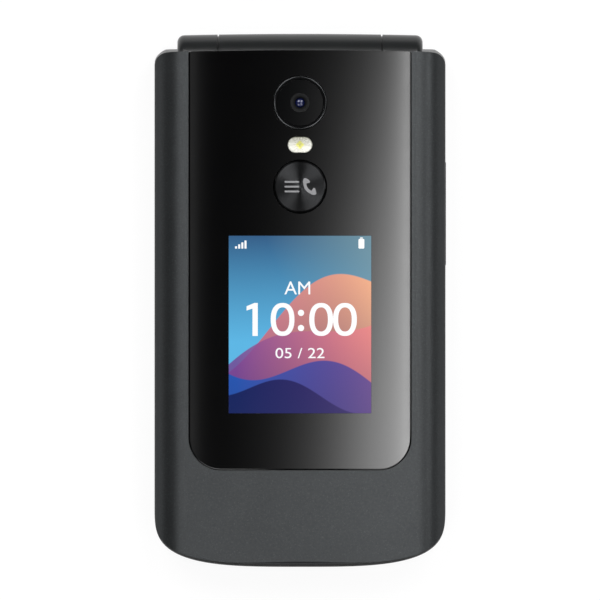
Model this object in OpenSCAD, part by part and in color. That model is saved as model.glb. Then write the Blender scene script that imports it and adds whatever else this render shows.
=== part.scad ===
// Clamshell phone, closed and lying on its back: battery side down at z = 0,
// hinge barrel at the +Y end, X across. Sizes in millimetres.

/* [Outline] */
// Width of the phone
phone_w = 57.4; // [57:0.1:60]
// Length of the closed phone, hinge barrel to bottom end
phone_l = 105.2; // [104.6:0.1:108]
// Depth of the curved bottom end
end_bulge = 11.8; // [10:0.1:14]
// Squareness of the bottom end (2 is an ellipse)
end_power = 3.4; // [2.8:0.1:4]
// How far the lid's bottom end stops short of the base
lid_setback = 0.65; // [0.2:0.05:1.2]
// Corner radius beside the hinge
hinge_corner_r = 2.2; // [1:0.1:3]
// Air between the closed halves
fold_gap = 0.4; // [0.4:0.05:0.8]

/* [Lid] */
// Radius of the lid's gentle crown
crown_r = 180; // [150:5:250]
// Radius of the roll along the lid's sides
side_roll_r = 6; // [5:0.1:6.4]
// Wall of the lid's cover
lid_wall = 1.2; // [1:0.05:1.4]
// Thickness of the lid's inner plate
inner_plate_t = 1.3; // [1.2:0.05:1.6]
// Thickness of the inset panel
panel_t = 1; // [0.8:0.05:1.2]
// Width of the inset panel
panel_w = 43.8; // [42:0.1:45]
// From the bottom end up to the panel's lower edge
panel_from_end = 19.2; // [18:0.1:21]
// Corner radius of the inset panel
panel_corner_r = 6.3; // [4:0.1:8]
// Thickness of the shelf under the panel
shelf_t = 2.15; // [2:0.05:2.4]
// Radius of the roll along the lid's bottom edge
lid_end_roll = 2; // [1:0.1:2.4]

/* [Lid face, from the hinge axis toward the bottom end] */
// Camera centre, below the hinge axis
camera_down = 9.05; // [8.8:0.05:9.2]
// Flash centre, below the camera's
flash_below = 8.3; // [8.1:0.05:8.6]
// Call key centre, below the flash's
call_below = 8.25; // [8.2:0.05:8.6]
// Outer display's module, below the call key's flange
outer_below = 0.76; // [0.5:0.02:1.2]
// Camera ring's outside radius
camera_ring_r = 5.26; // [5:0.02:5.4]
// Camera window's radius
camera_window_r = 4.5; // [4:0.05:4.6]
// How far the camera ring stands proud
camera_proud = 0.15; // [0:0.05:0.3]
// Flash window, length
flash_l = 4.85; // [4.4:0.05:5.2]
// Flash window, height
flash_h = 3.15; // [2.8:0.05:3.4]
// Call key radius
call_r = 5.2; // [4.8:0.05:5.4]
// Call key travel
call_travel = 0.3; // [0.2:0.05:0.3]
// Outer display, picture width
outer_view_w = 28.1; // [26:0.1:29]
// Outer display, picture height
outer_view_h = 35; // [33:0.1:36]
// Outer display module, thickness
outer_display_t = 1.05; // [0.9:0.05:1.2]

/* [Inner display] */
// From the phone's sides to the inner display's picture
inner_side_room = 7.1; // [6.8:0.1:7.6]
// From the bottom end to the inner display's picture
inner_from_end = 22.3; // [21:0.1:24]
// From the camera's body down to the inner display's module
inner_below = 0.85; // [0.4:0.05:1.5]
// Border of the inner display's module at its sides
inner_border_w = 3.4; // [3:0.1:3.5]
// Border of the inner display's module at its ends
inner_border_l = 5.7; // [5:0.1:6]
// Inner display module, thickness
inner_display_t = 1.6; // [1.4:0.05:1.8]
// Inner window, thickness
inner_window_t = 0.7; // [0.5:0.05:0.8]
// Lid circuit board, thickness
lid_board_t = 0.6; // [0.5:0.05:0.8]

/* [Hinge] */
// Hinge barrel radius at its middle
barrel_r = 4.6; // [4.5:0.05:4.8]
// From the phone's sides to the ends of the barrel
barrel_side_room = 4.5; // [4.2:0.1:4.8]
// Length of each outer knuckle
outer_knuckle_l = 7.95; // [7.6:0.05:8.4]
// How much the barrel thins toward its ends
barrel_crown = 0.3; // [0.1:0.05:0.4]
// Rounding of the barrel's end corners
barrel_corner = 1.4; // [0.8:0.1:1.8]
// Gap between knuckles
knuckle_gap = 0.25; // [0.2:0.05:0.35]
// Room round a knuckle in the other half
knuckle_room = 0.25; // [0.2:0.05:0.3]
// Widest angle the lid opens to
open_angle = 160; // [150:1:165]
// Hinge spring cartridge radius
cartridge_r = 2.95; // [2.8:0.05:3]
// Hinge spring cartridge length
cartridge_l = 12.9; // [12:0.1:13.5]
// Hinge shaft radius
shaft_r = 1.5; // [1.3:0.05:1.6]
// Hollow pivot tube, outside radius
tube_r = 2.2; // [2:0.05:2.3]
// Hollow pivot tube, bore radius
tube_bore_r = 1.5; // [1.4:0.05:1.6]

/* [Base] */
// Wall of the base housings
base_wall = 1.3; // [1.1:0.05:1.4]
// Thickness of the keypad face
face_t = 1; // [0.8:0.05:1.2]
// Height of the roll round the back edge
back_roll_h = 4.2; // [3.6:0.1:4.6]
// Width of the roll round the back edge
back_roll_w = 3.2; // [2.4:0.1:3.6]
// Battery cover floor
cover_floor = 1; // [0.8:0.05:1.1]
// Battery cover height
cover_h = 3.1; // [2.9:0.05:3.3]

/* [Inside the base] */
// From the phone's sides to the battery
battery_side_room = 7.2; // [7:0.1:9]
// From the bottom end to the battery
battery_from_end = 18.6; // [17:0.1:22]
// Battery thickness
battery_t = 3.95; // [3.6:0.05:4.4]
// Card holder width
sim_w = 28; // [26:0.5:32]
// Card holder length
sim_l = 18; // [17:0.5:22]
// Card holder thickness
sim_t = 0.6; // [0.5:0.05:0.8]
// Thickness of the rear housing's web
web_t = 0.8; // [0.7:0.05:1]
// Height of the shield can
can_h = 0.55; // [0.4:0.05:0.6]
// Main board thickness
board_t = 0.8; // [0.6:0.05:1]
// Height of a key's snap dome
dome_h = 0.2; // [0.15:0.05:0.25]
// Keypad membrane thickness
membrane_t = 0.4; // [0.3:0.05:0.5]
// Loudspeaker radius
speaker_r = 7; // [6:0.1:7.4]
// Loudspeaker thickness
speaker_t = 3.9; // [3:0.1:4]
// Vibration motor radius
motor_r = 4; // [3.5:0.1:4.5]
// Vibration motor thickness
motor_t = 2.7; // [2.4:0.1:3]
// Headphone socket bore radius
jack_r = 1.85; // [1.8:0.01:1.9]
// Headphone socket bore depth
jack_depth = 14; // [13.5:0.1:14.5]
// Headphone socket, down from the hinge axis
jack_down = 13.5; // [13.2:0.1:14]

/* [Keys] */
// From the phone's sides to the number keys
key_side_room = 7; // [6.9:0.1:8]
// Gap between number keys, across
key_between_w = 1.6; // [1.4:0.1:2.4]
// Gap between number keys, along
key_between_l = 1.9; // [1.6:0.1:2]
// From the bottom end to the lowest number keys
key_end_room = 5.6; // [5.4:0.1:6]
// Key corner radius
key_corner_r = 1.6; // [1:0.1:2]
// Clearance round a key
key_gap = 0.2; // [0.15:0.05:0.25]
// Key travel
key_travel = 0.2; // [0.15:0.05:0.2]
// How far keys stand above the face
key_proud = 0.1; // [0:0.05:0.1]
// Radius of a key top's pillow
key_pillow_r = 60; // [40:5:120]
// Clear key length
clear_l = 6.4; // [6:0.1:7]
// Navigation ring radius
nav_r = 9.2; // [8.8:0.1:9.4]
// Select key radius
ok_r = 4.2; // [3.8:0.1:4.4]
// From the phone's sides to the soft, send and end keys
side_key_room = 6.8; // [6.7:0.1:7.5]
// Length of the soft, send and end keys
side_key_l = 8; // [7.5:0.1:8.4]
// Volume key length
volume_l = 20.5; // [18:0.1:21]
// Volume key height
volume_h = 2.2; // [1.8:0.1:2.4]
// Volume key's top end, below the upper base screws
volume_below = 1.25; // [1:0.05:3]
// How far the volume key stands proud
volume_proud = 0.12; // [0.1:0.02:0.3]

/* [Hidden] */
glue = 0.05; // Film of adhesive, or the least air between pieces
cut = 1; // How far a cut reaches past a face
half_w = phone_w / 2;
bottom_y = -phone_l / 2;
hinge_y = phone_l / 2 - barrel_r;
bulge_y = bottom_y + end_bulge;

// Base, stacked from the back up
battery_z = cover_floor + glue;
sim_z = battery_z + battery_t + glue;
web_z = sim_z + sim_t + glue;
split_z = web_z + web_t;
can_z = split_z + glue;
board_z = can_z + can_h + 2 * glue;
board_top = board_z + board_t;
sheet_t = 0.12;
dome_z = board_top + glue / 2 + sheet_t;
pip_h = 0.1;
membrane_z = dome_z + dome_h + glue + pip_h;
membrane_top = membrane_z + membrane_t;
flange_z = membrane_top + key_travel + glue;
flange_t = 0.2;
face_z = flange_z + flange_t + glue;
base_h = face_z + face_t;
hinge_z = base_h;
key_top = base_h + key_proud;

// Lid, stacked from the fold up
lid_z = base_h + fold_gap;
lid_split = lid_z + inner_plate_t;
inner_display_z = lid_split + glue;
lid_board_z = inner_display_z + inner_display_t + 2 * glue;
lid_board_top = lid_board_z + lid_board_t;
outer_display_z = lid_board_top + glue;
shelf_z = outer_display_z + outer_display_t + glue;
shelf_top = shelf_z + shelf_t;
lid_top = shelf_top + glue + panel_t;
lid_bulge = end_bulge - lid_setback;

// Crown and side roll meet at one tangent
crown_z = lid_top - crown_r;
roll_x = half_w - side_roll_r;
crown_reach = crown_r - side_roll_r;
roll_z = crown_z + sqrt(crown_reach * crown_reach - roll_x * roll_x);
tangent_angle = asin(roll_x / crown_reach);

// End walls lean so that they meet at the widest angle
end_lean = (180 - open_angle) / 2;
end_gap = 0.15;
lid_top_y = hinge_y + (lid_top - hinge_z) * tan(end_lean) - end_gap;
base_top_y = hinge_y + hinge_z * tan(end_lean) - end_gap;

// Hinge barrel, and the pockets that clear it
barrel_half = half_w - barrel_side_room;
outer_start = barrel_half - outer_knuckle_l;
middle_half = outer_start - knuckle_gap;
knuckle_floor = 2;
room_r = barrel_r + knuckle_room;
room_half = barrel_half + knuckle_gap / 2;
pocket_wall = 1;
base_pocket_wall = 1.3;
lid_cavity_y = hinge_y - room_r - pocket_wall;
base_cavity_y = hinge_y - room_r - base_pocket_wall;

// Places on the lid face
fit = 0.09;
call_gap = 0.15;
call_flange_w = 0.7;
call_flange_t = 0.45;
call_flange_gap = 0.1;
call_flange_z = shelf_z - call_flange_gap - call_flange_t;
camera_y = hinge_y - camera_down;
flash_y = camera_y - flash_below;
call_y = flash_y - call_below;
outer_border_w = 2.5;
outer_border_l = 3;
outer_module_w = outer_view_w + 2 * outer_border_w;
outer_module_l = outer_view_h + 2 * outer_border_l;
outer_display_y = call_y - call_r - call_flange_w - outer_below - outer_module_l / 2;
panel_y = bottom_y + panel_from_end;

// Inner display, between the camera's body and the earpiece
camera_body_w = 8.2;
camera_body_y = lid_cavity_y - 2 * glue - camera_body_w / 2;
inner_module_top = camera_body_y - camera_body_w / 2 - inner_below;
inner_view_top = inner_module_top - inner_border_l;
inner_view_low = bottom_y + inner_from_end;
inner_view_w = phone_w - 2 * inner_side_room;
inner_view_h = inner_view_top - inner_view_low;
inner_display_y = (inner_view_top + inner_view_low) / 2;
inner_module_w = inner_view_w + 2 * inner_border_w;
inner_module_l = inner_view_h + 2 * inner_border_l;
view_margin = 0.6;
window_lap = 1.3;
inner_opening_w = inner_view_w + 2 * view_margin;
inner_opening_l = inner_view_h + 2 * view_margin;
inner_window_w = inner_opening_w + 2 * window_lap;
inner_window_l = inner_opening_l + 2 * window_lap;
earpiece_from_end = 8.1;
earpiece_y = bottom_y + earpiece_from_end;

// Headphone socket, and the ring, the clear key and four number rows below it
socket_room = 0.25;
jack_w = 6.4;
jack_h = 5;
jack_nose_r = 2.4;
jack_inset = 0.2;
jack_back_wall = 0.5;
jack_y = hinge_y - jack_down;
jack_z = split_z;
jack_mouth_x = jack_inset - half_w;
jack_back_x = jack_mouth_x + jack_depth + jack_back_wall;
nav_jack_gap = 9.5;
clear_above = 3.3;
nav_above = 3.8;
nav_y = jack_y - jack_w / 2 - nav_jack_gap - nav_r;
clear_y = nav_y - nav_r - nav_above - clear_l / 2;
key_low_y = bottom_y + key_end_room;
key_high_y = clear_y - clear_l / 2 - clear_above;
key_l = (key_high_y - key_low_y - 3 * key_between_l) / 4;
key_w = (phone_w - 2 * key_side_room - 2 * key_between_w) / 3;
key_pitch_x = key_w + key_between_w;
key_pitch_y = key_l + key_between_l;
number_columns = [-key_pitch_x, 0, key_pitch_x];
function row_y(row) = key_low_y + key_l / 2 + row * key_pitch_y;
ok_gap = 0.3;
nav_inner_r = ok_r + ok_gap;
nav_side_gap = 1.3;
side_key_between = 3.6;
side_key_drop = 0.4;
side_key_w = half_w - side_key_room - nav_r - nav_side_gap;
side_key_x = half_w - side_key_room - side_key_w / 2;
send_y = nav_y - side_key_drop - (side_key_l + side_key_between) / 2;
soft_y = send_y + side_key_l + side_key_between;
number_places = [for (row = [0:3]) for (x = number_columns) [x, row_y(row)]];
side_places = [for (y = [send_y, soft_y]) for (x = [-side_key_x, side_key_x]) [x, y]];
press_places = concat(number_places, side_places, [[0, clear_y], [0, nav_y]]);
flange_w = 0.35;
sheet_side_edge = 0.1;
sheet_low_edge = 0.35;
sheet_top_edge = 1;
sheet_half_w = half_w - key_side_room + flange_w + sheet_side_edge;
sheet_end = key_low_y - flange_w - sheet_low_edge;
sheet_top = soft_y + side_key_l / 2 + sheet_top_edge;

// Base screws, and the volume key below the upper ones
screw_r = 0.7;
screw_bite = 0.02;
screw_hole_r = 0.85;
screw_head_r = 1.3;
screw_head_h = 0.65;
boss_r = 1.65;
screw_side_room = 4.1;
screw_jack_gap = 0.8;
lower_screw_up = 22.6;
screw_x = half_w - screw_side_room;
upper_screw_y = jack_y - jack_w / 2 - socket_room - boss_r - screw_jack_gap;
lower_screw_y = bottom_y + lower_screw_up;
base_screw_places = [for (y = [lower_screw_y, upper_screw_y]) for (x = [-screw_x, screw_x]) [x, y]];
volume_y = upper_screw_y - volume_below - volume_l / 2;
volume_lift = 0.5;
volume_z = split_z + volume_lift;
volume_play = 0.3;
volume_lip = 0.5;
volume_lip_t = 0.6;
volume_reach = base_wall + volume_play + volume_lip_t;

// Lid screws, each with a bumper over its head
lid_low_screw_in = 6.2;
lid_low_screw_up = 10.1;
lid_high_screw_in = 4.4;
lid_high_screw_down = 3.6;
lid_screw_places = [
    for (side = [-1, 1]) each [
        [side * (half_w - lid_low_screw_in), bottom_y + lid_low_screw_up],
        [side * (half_w - lid_high_screw_in), lid_cavity_y - lid_high_screw_down]
    ]
];
bumper_r = 1.9;
bumper_h = 0.8;
bumper_gap = 0.1;
lid_head_z = base_h + bumper_gap + bumper_h + 2 * glue;

// Loudspeaker beside a screw, motor beside it, and the battery below both
cradle_w = 1;
cradle_h = 1.6;
cradle_r = speaker_r + cradle_w;
speaker_side_gap = 0.95;
speaker_end_gap = 2.35;
motor_side_gap = 6.5;
motor_end_gap = 9.85;
speaker_x = screw_x - boss_r - speaker_side_gap - cradle_r;
speaker_y = base_cavity_y - speaker_end_gap - cradle_r;
motor_x = speaker_x - cradle_r - motor_side_gap - motor_r;
motor_y = base_cavity_y - motor_end_gap - motor_r;
contact_room = 3.5;
battery_top = speaker_y - cradle_r - contact_room;
battery_w = phone_w - 2 * battery_side_room;
battery_l = battery_top - bottom_y - battery_from_end;
battery_y = battery_top - battery_l / 2;

// Bottom end: charging socket, antenna and microphone
usb_w = 7.6;
usb_h = 2.5;
usb_l = 6;
usb_room = 0.3;
usb_shell = 0.3;
usb_inset = 0.35;
usb_z = board_z - usb_h - glue;
usb_y = bottom_y + usb_inset;
usb_back = usb_y + usb_l + 2 * usb_room;
antenna_l = 6.4;
antenna_lift = 0.6;
antenna_side_room = 8.7;
antenna_usb_gap = 2.2;
antenna_from_end = 3.4;
antenna_w = half_w - antenna_side_room - usb_w / 2 - antenna_usb_gap;
antenna_x = antenna_side_room + antenna_w / 2 - half_w;
antenna_y = bottom_y + antenna_from_end + antenna_l / 2;
antenna_z = cover_h + antenna_lift;
mic_w = 4;
mic_l = 2.2;
mic_h = 1;
mic_hole_r = 0.5;
mic_side_room = 12.7;
mic_from_end = 2.1;
mic_x = half_w - mic_side_room - mic_w / 2;
mic_y = bottom_y + mic_from_end + mic_l / 2;

// ---- Outlines ----

end_steps = 30;
corner_steps = 4;

function bottom_curve(a, b) = [
    for (i = [0:end_steps])
        let (t = 180 * i / end_steps)
        [a * sign(cos(t)) * pow(abs(cos(t)), 2 / end_power), bulge_y - b * pow(sin(t), 2 / end_power)]
];

function arc(x, y, r, from, to, steps) = [
    for (i = [0:steps])
        let (t = from + (to - from) * i / steps)
        [x + r * cos(t), y + r * sin(t)]
];

// Plan of either half, drawn in by inset; the hinge end stays where it is
function plan(inset, bulge, top_y) =
    let (a = half_w - inset)
    let (r = max(hinge_corner_r - inset, 0.3))
    concat(
        bottom_curve(a, bulge - inset),
        arc(r - a, top_y - r, r, 180, 90, corner_steps),
        arc(a - r, top_y - r, r, 90, 0, corner_steps)
    );

function rounded(w, l, r) = concat(
    arc(w / 2 - r, l / 2 - r, r, 90, 0, corner_steps),
    arc(w / 2 - r, r - l / 2, r, 0, -90, corner_steps),
    arc(r - w / 2, r - l / 2, r, -90, -180, corner_steps),
    arc(r - w / 2, l / 2 - r, r, 180, 90, corner_steps)
);

// Skin over rings that share one number of points, each clockwise from above
module skin(rings) {
    n = len(rings[0]);
    top = (len(rings) - 1) * n;
    polyhedron(
        points = [for (ring = rings) each ring],
        faces = concat(
            [[for (i = [n - 1:-1:0]) i]],
            [[for (i = [0:n - 1]) top + i]],
            [
                for (k = [0:len(rings) - 2])
                    for (i = [0:n - 1])
                        let (a = k * n + i)
                        let (b = k * n + (i + 1) % n)
                        each [[a, b, b + n], [a, b + n, a + n]]
            ]
        )
    );
}

// levels: [height, inset] pairs
module plan_skin(levels, bulge, top_y) {
    skin([for (level = levels) [for (p = plan(level[1], bulge, top_y)) [p.x, p.y, level[0]]]]);
}

// ---- Shared shapes ----

module slab(z0, z1) {
    translate([-phone_w, -phone_l, z0]) cube([2 * phone_w, 2 * phone_l, z1 - z0]);
}

module block(x, y, z, w, l, h) {
    translate([x - w / 2, y - l / 2, z]) cube([w, l, h]);
}

module pad(x, y, z, w, l, h, r) {
    translate([x, y, z]) linear_extrude(h) polygon(rounded(w, l, r));
}

module disc(x, y, z, r, h) {
    translate([x, y, z]) cylinder(h = h, r = r, $fn = 48);
}

module along_hinge(x0, x1, r) {
    translate([x0, hinge_y, hinge_z]) rotate([0, 90, 0]) cylinder(h = x1 - x0, r = r, $fn = 64);
}

// Everything past a half's leaning end wall
module past_end(lean) {
    translate([0, hinge_y, hinge_z]) rotate([lean, 0, 0])
        translate([-phone_w, -end_gap, -phone_l / 2]) cube([2 * phone_w, phone_l, phone_l]);
}

function barrel_radius(x) = barrel_r - barrel_crown * pow(x / barrel_half, 2);

// Crowned hinge knuckle from x0 to x1, its far end rounded where asked
module knuckle(x0, x1, round_end) {
    steps = 4;
    last = round_end ? x1 - barrel_corner : x1;
    r_last = barrel_radius(last);
    end_arc = round_end ? arc(r_last - barrel_corner, last, barrel_corner, 22.5, 90, 3) : [];
    side = [for (i = [0:steps]) let (x = x0 + (last - x0) * i / steps) [barrel_radius(x), x]];
    translate([0, hinge_y, hinge_z]) rotate([0, 90, 0]) rotate_extrude($fn = 64)
        polygon(concat([[0, x0]], side, end_arc, [[0, x1]]));
}

// Cross-section of the lid, its skin moved inward by drop
function lid_section(drop) = concat(
    [[half_w - drop, lid_z - 1]],
    arc(roll_x, roll_z, side_roll_r - drop, 0, 90 - tangent_angle, 8),
    arc(0, crown_z, crown_r - drop, 90 - tangent_angle, 90 + tangent_angle, 20),
    arc(-roll_x, roll_z, side_roll_r - drop, 90 + tangent_angle, 180, 8),
    [[drop - half_w, lid_z - 1]]
);

module lid_prism(drop) {
    translate([0, phone_l, 0]) rotate([90, 0, 0]) linear_extrude(2 * phone_l)
        polygon(lid_section(drop));
}

// ---- Base housings ----

back_inset = [for (share = [0, 0.07, 0.2, 0.4, 0.65, 1])
    [share * back_roll_h, back_roll_w * (1 - sqrt(1 - pow(1 - share, 2)))]];
face_edge = 0.3;

module base_form() {
    plan_skin(
        concat(back_inset, [[base_h - face_edge, 0], [base_h, face_edge]]),
        end_bulge, base_top_y
    );
}

module base_cavity(z0, z1, inset) {
    translate([0, 0, z0]) linear_extrude(z1 - z0)
        polygon(plan(inset, end_bulge, base_cavity_y));
}

module key_opening(x, y, w, l) {
    pad(x, y, face_z - cut, w + 2 * key_gap, l + 2 * key_gap, face_t + 2 * cut, key_corner_r + key_gap);
}

module key_openings() {
    for (p = number_places)
        key_opening(p.x, p.y, key_w, key_l);
    for (p = side_places)
        key_opening(p.x, p.y, side_key_w, side_key_l);
    key_opening(0, clear_y, key_w, clear_l);
    disc(0, nav_y, face_z - cut, nav_r + key_gap, face_t + 2 * cut);
}

module usb_mouth() {
    block(0, bottom_y, usb_z - usb_room, usb_w + 2 * usb_room, 4 * base_wall, usb_h + 2 * usb_room);
}

module jack_mouth() {
    translate([-half_w - cut, jack_y, jack_z]) rotate([0, 90, 0])
        cylinder(h = base_wall + 2 * cut, r = jack_nose_r + call_gap, $fn = 48);
}

module jack_room(z, h) {
    wall_x = base_wall - half_w;
    translate([wall_x, jack_y - jack_w / 2 - socket_room, z])
        cube([jack_back_x + socket_room - wall_x, jack_w + 2 * socket_room, h]);
}

module volume_mouth() {
    // The key's ends need more room than its sides, because it rocks
    end_room = key_gap + 0.1;
    block(
        half_w, volume_y, volume_z - key_gap,
        4 * base_wall, volume_l + 2 * end_room, volume_h + 2 * key_gap
    );
}

module base_front_housing() color([0.09, 0.1, 0.1]) {
    difference() {
        union() {
            difference() {
                intersection() {
                    base_form();
                    slab(split_z, base_h + cut);
                }
                past_end(end_lean);
                base_cavity(split_z - cut, face_z, base_wall);
                along_hinge(-outer_start, outer_start, room_r);
            }
            knuckle(outer_start, barrel_half, true);
            mirror([1, 0, 0]) knuckle(outer_start, barrel_half, true);
            for (p = base_screw_places)
                disc(p.x, p.y, board_top + glue, boss_r, face_z - board_top);
        }
        key_openings();
        usb_mouth();
        jack_mouth();
        volume_mouth();
        disc(mic_x, mic_y, face_z - cut, mic_hole_r, face_t + 2 * cut);
        for (p = base_screw_places)
            disc(p.x, p.y, board_top, screw_r + screw_bite, face_z - board_top);
        along_hinge(0, barrel_half - knuckle_floor, tube_r + glue);
        along_hinge(knuckle_floor - barrel_half, 0, tube_r + glue);
    }
}

module base_rear_housing() color([0.1, 0.11, 0.11]) {
    difference() {
        intersection() {
            base_form();
            slab(cover_h + glue * 2, split_z);
        }
        past_end(end_lean);
        base_cavity(cover_h, web_z, base_wall);
        along_hinge(-room_half, room_half, room_r);
        // Room for the headphone socket, whose body passes the web
        jack_room(web_z - cut, web_t + 2 * cut);
        // Room for the charging socket
        translate([-usb_w / 2 - usb_room, bottom_y + base_wall, web_z - cut])
            cube([usb_w + 2 * usb_room, usb_back - bottom_y - base_wall, web_t + 2 * cut]);
        usb_mouth();
        jack_mouth();
        for (p = base_screw_places)
            disc(p.x, p.y, web_z - cut, screw_hole_r, web_t + 2 * cut);
    }
    // Screw posts above the web, and the loudspeaker's cradle below it
    for (p = base_screw_places)
        translate([p.x, p.y, split_z]) difference() {
            cylinder(h = board_z - glue - split_z, r = boss_r, $fn = 32);
            translate([0, 0, -cut]) cylinder(h = board_z, r = screw_hole_r, $fn = 32);
        }
    translate([speaker_x, speaker_y, web_z - cradle_h]) difference() {
        cylinder(h = cradle_h, r = cradle_r, $fn = 64);
        translate([0, 0, -cut]) cylinder(h = cradle_h + 2 * cut, r = speaker_r + glue, $fn = 64);
    }
}

grille_slots = 5;
grille_pitch = 2;
grille_slot_w = 9;
grille_slot_l = 0.9;
thumb_from_end = 17;
thumb_w = 14;
thumb_r = 18;
thumb_depth = 0.6;
cover_corner_w = 1.1;
cover_corner_h = 0.6;
cover_end_wall = 3.8;

module battery_cover() color([0.1, 0.11, 0.11]) {
    difference() {
        intersection() {
            base_form();
            slab(-cut, cover_h);
        }
        past_end(end_lean);
        plan_skin(
            [
                [cover_floor, base_wall + cover_corner_w],
                [cover_floor + cover_corner_h, base_wall + cover_corner_w / 2],
                [cover_h + glue, base_wall]
            ],
            end_bulge, base_top_y - cover_end_wall
        );
        for (i = [0:grille_slots - 1])
            translate([speaker_x, speaker_y + (i - (grille_slots - 1) / 2) * grille_pitch, -cut])
                linear_extrude(cover_floor + 2 * cut)
                    polygon(rounded(grille_slot_w, grille_slot_l, grille_slot_l / 2 - 0.01));
        // Thumb hollow near the bottom end
        translate([-thumb_w / 2, bottom_y + thumb_from_end, thumb_depth - thumb_r]) rotate([0, 90, 0])
            cylinder(h = thumb_w, r = thumb_r, $fn = 96);
    }
}

// ---- Inside the base ----

board_side_room = 0.5;
board_end_room = 0.4;
volume_switch_w = 1.4;
volume_switch_l = 3;
volume_switch_h = 1;

module main_board() color([0.1, 0.3, 0.16]) {
    difference() {
        translate([0, 0, board_z]) linear_extrude(board_t)
            polygon(plan(base_wall + board_side_room, end_bulge, base_cavity_y - board_end_room));
        jack_room(board_z - cut, board_t + 2 * cut);
        // Notch behind the volume key
        block(
            half_w, volume_y, board_z - cut,
            2 * (volume_reach + volume_play), volume_l + 4 * volume_lip, board_t + 2 * cut
        );
        for (p = base_screw_places)
            disc(p.x, p.y, board_z - cut, screw_hole_r, board_t + 2 * cut);
    }
    // Switches behind the two ends of the volume key
    for (side = [-1, 1])
        block(
            half_w - volume_reach - volume_play - volume_switch_w / 2, volume_y + side * volume_l / 3,
            board_top, volume_switch_w, volume_switch_l, volume_switch_h
        );
}

dome_r = 2.4;
dome_top_r = 1.4;
nav_dome_r = 1.6;
nav_dome_top_r = 1;
pip_r = 1;

module dome_sheet() color([0.75, 0.76, 0.78]) {
    sheet_l = sheet_top - sheet_end;
    block(0, (sheet_top + sheet_end) / 2, board_top + glue / 2, 2 * sheet_half_w, sheet_l, sheet_t);
    for (p = press_places)
        translate([p.x, p.y, dome_z]) cylinder(h = dome_h, r1 = dome_r, r2 = dome_top_r, $fn = 32);
    for (angle = [0:90:270])
        translate([0, nav_y, dome_z]) rotate([0, 0, angle]) translate([(nav_r + nav_inner_r) / 2, 0, 0])
            cylinder(h = dome_h, r1 = nav_dome_r, r2 = nav_dome_top_r, $fn = 32);
}

module keypad_membrane() color([0.6, 0.62, 0.64]) {
    sheet_l = sheet_top - sheet_end;
    block(0, (sheet_top + sheet_end) / 2, membrane_z, 2 * sheet_half_w, sheet_l, membrane_t);
    for (p = press_places)
        disc(p.x, p.y, membrane_z - pip_h, pip_r, pip_h);
}

can_side_room = 4.5;
can_end_room = 8;
can_corner_r = 1.5;

module shield_can() color([0.78, 0.79, 0.8]) {
    pad(
        0, battery_y, can_z,
        battery_w - 2 * can_side_room, battery_l - 2 * can_end_room, can_h, can_corner_r
    );
}

battery_corner_r = 2;

module battery() color([0.16, 0.17, 0.19]) {
    pad(0, battery_y, battery_z, battery_w, battery_l, battery_t, battery_corner_r);
}

contact_w = 11;
contact_l = 2.2;
contact_gap = 0.3;
contact_lift = 0.8;
contact_pitch = 3.4;
contact_spring_w = 1.2;
contact_spring_h = 1.6;
contact_spring_lift = 1.2;
contact_spring_lap = 0.1;

module battery_contacts() color([0.85, 0.7, 0.35]) {
    contact_z = battery_z + contact_lift;
    contact_front = battery_top + contact_gap;
    block(0, contact_front + contact_l / 2, contact_z, contact_w, contact_l, web_z - glue - contact_z);
    for (i = [-1, 0, 1])
        translate([
            i * contact_pitch - contact_spring_w / 2,
            battery_top + contact_spring_lap,
            contact_z + contact_spring_lift
        ]) cube([contact_spring_w, contact_gap, contact_spring_h]);
}

speaker_rim_h = 0.4;
speaker_rim_w = 1;

module loudspeaker() color([0.2, 0.2, 0.21]) {
    disc(speaker_x, speaker_y, web_z - glue - speaker_t, speaker_r, speaker_t - speaker_rim_h);
    disc(speaker_x, speaker_y, web_z - glue - speaker_rim_h, speaker_r - speaker_rim_w, speaker_rim_h);
}

module vibration_motor() color([0.75, 0.75, 0.76]) {
    disc(motor_x, motor_y, web_z - glue - motor_t, motor_r, motor_t);
}

module headphone_jack() color([0.14, 0.14, 0.15]) {
    shoulder_x = jack_mouth_x + base_wall;
    difference() {
        union() {
            translate([shoulder_x, jack_y - jack_w / 2, jack_z - jack_h / 2])
                cube([jack_back_x - shoulder_x, jack_w, jack_h]);
            translate([jack_mouth_x, jack_y, jack_z]) rotate([0, 90, 0])
                cylinder(h = shoulder_x - jack_mouth_x + jack_back_wall, r = jack_nose_r, $fn = 48);
        }
        translate([jack_mouth_x - cut, jack_y, jack_z]) rotate([0, 90, 0])
            cylinder(h = jack_depth + cut, r = jack_r, $fn = 48);
    }
}

usb_corner_r = 0.5;
usb_back_t = 0.6;
usb_tongue_in = 1.2;
usb_tongue_back = 0.8;
usb_tongue_t = 0.5;

module usb_port() color([0.75, 0.76, 0.77]) {
    usb_mid = usb_y + usb_l / 2;
    difference() {
        pad(0, usb_mid, usb_z, usb_w, usb_l, usb_h, usb_corner_r);
        block(
            0, usb_mid - usb_back_t, usb_z + usb_shell,
            usb_w - 2 * usb_shell, usb_l, usb_h - 2 * usb_shell
        );
    }
    // Contact tongue, held by the back of the shell
    translate([usb_tongue_in - usb_w / 2, usb_y + usb_tongue_back, usb_z + (usb_h - usb_tongue_t) / 2])
        cube([usb_w - 2 * usb_tongue_in, usb_l - usb_tongue_back - usb_shell, usb_tongue_t]);
}

module microphone() color([0.7, 0.66, 0.5]) {
    block(mic_x, mic_y, board_top + glue, mic_w, mic_l, mic_h);
}

sim_above = 8;
sim_window_in = 4;
sim_window_l = 8;
sim_window_drop = 3;

module sim_holder() color([0.78, 0.79, 0.8]) {
    difference() {
        block(0, battery_y + sim_above, sim_z, sim_w, sim_l, sim_t);
        block(
            0, battery_y + sim_above - sim_window_drop, sim_z - cut,
            sim_w - 2 * sim_window_in, sim_window_l, sim_t + 2 * cut
        );
    }
}

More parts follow.
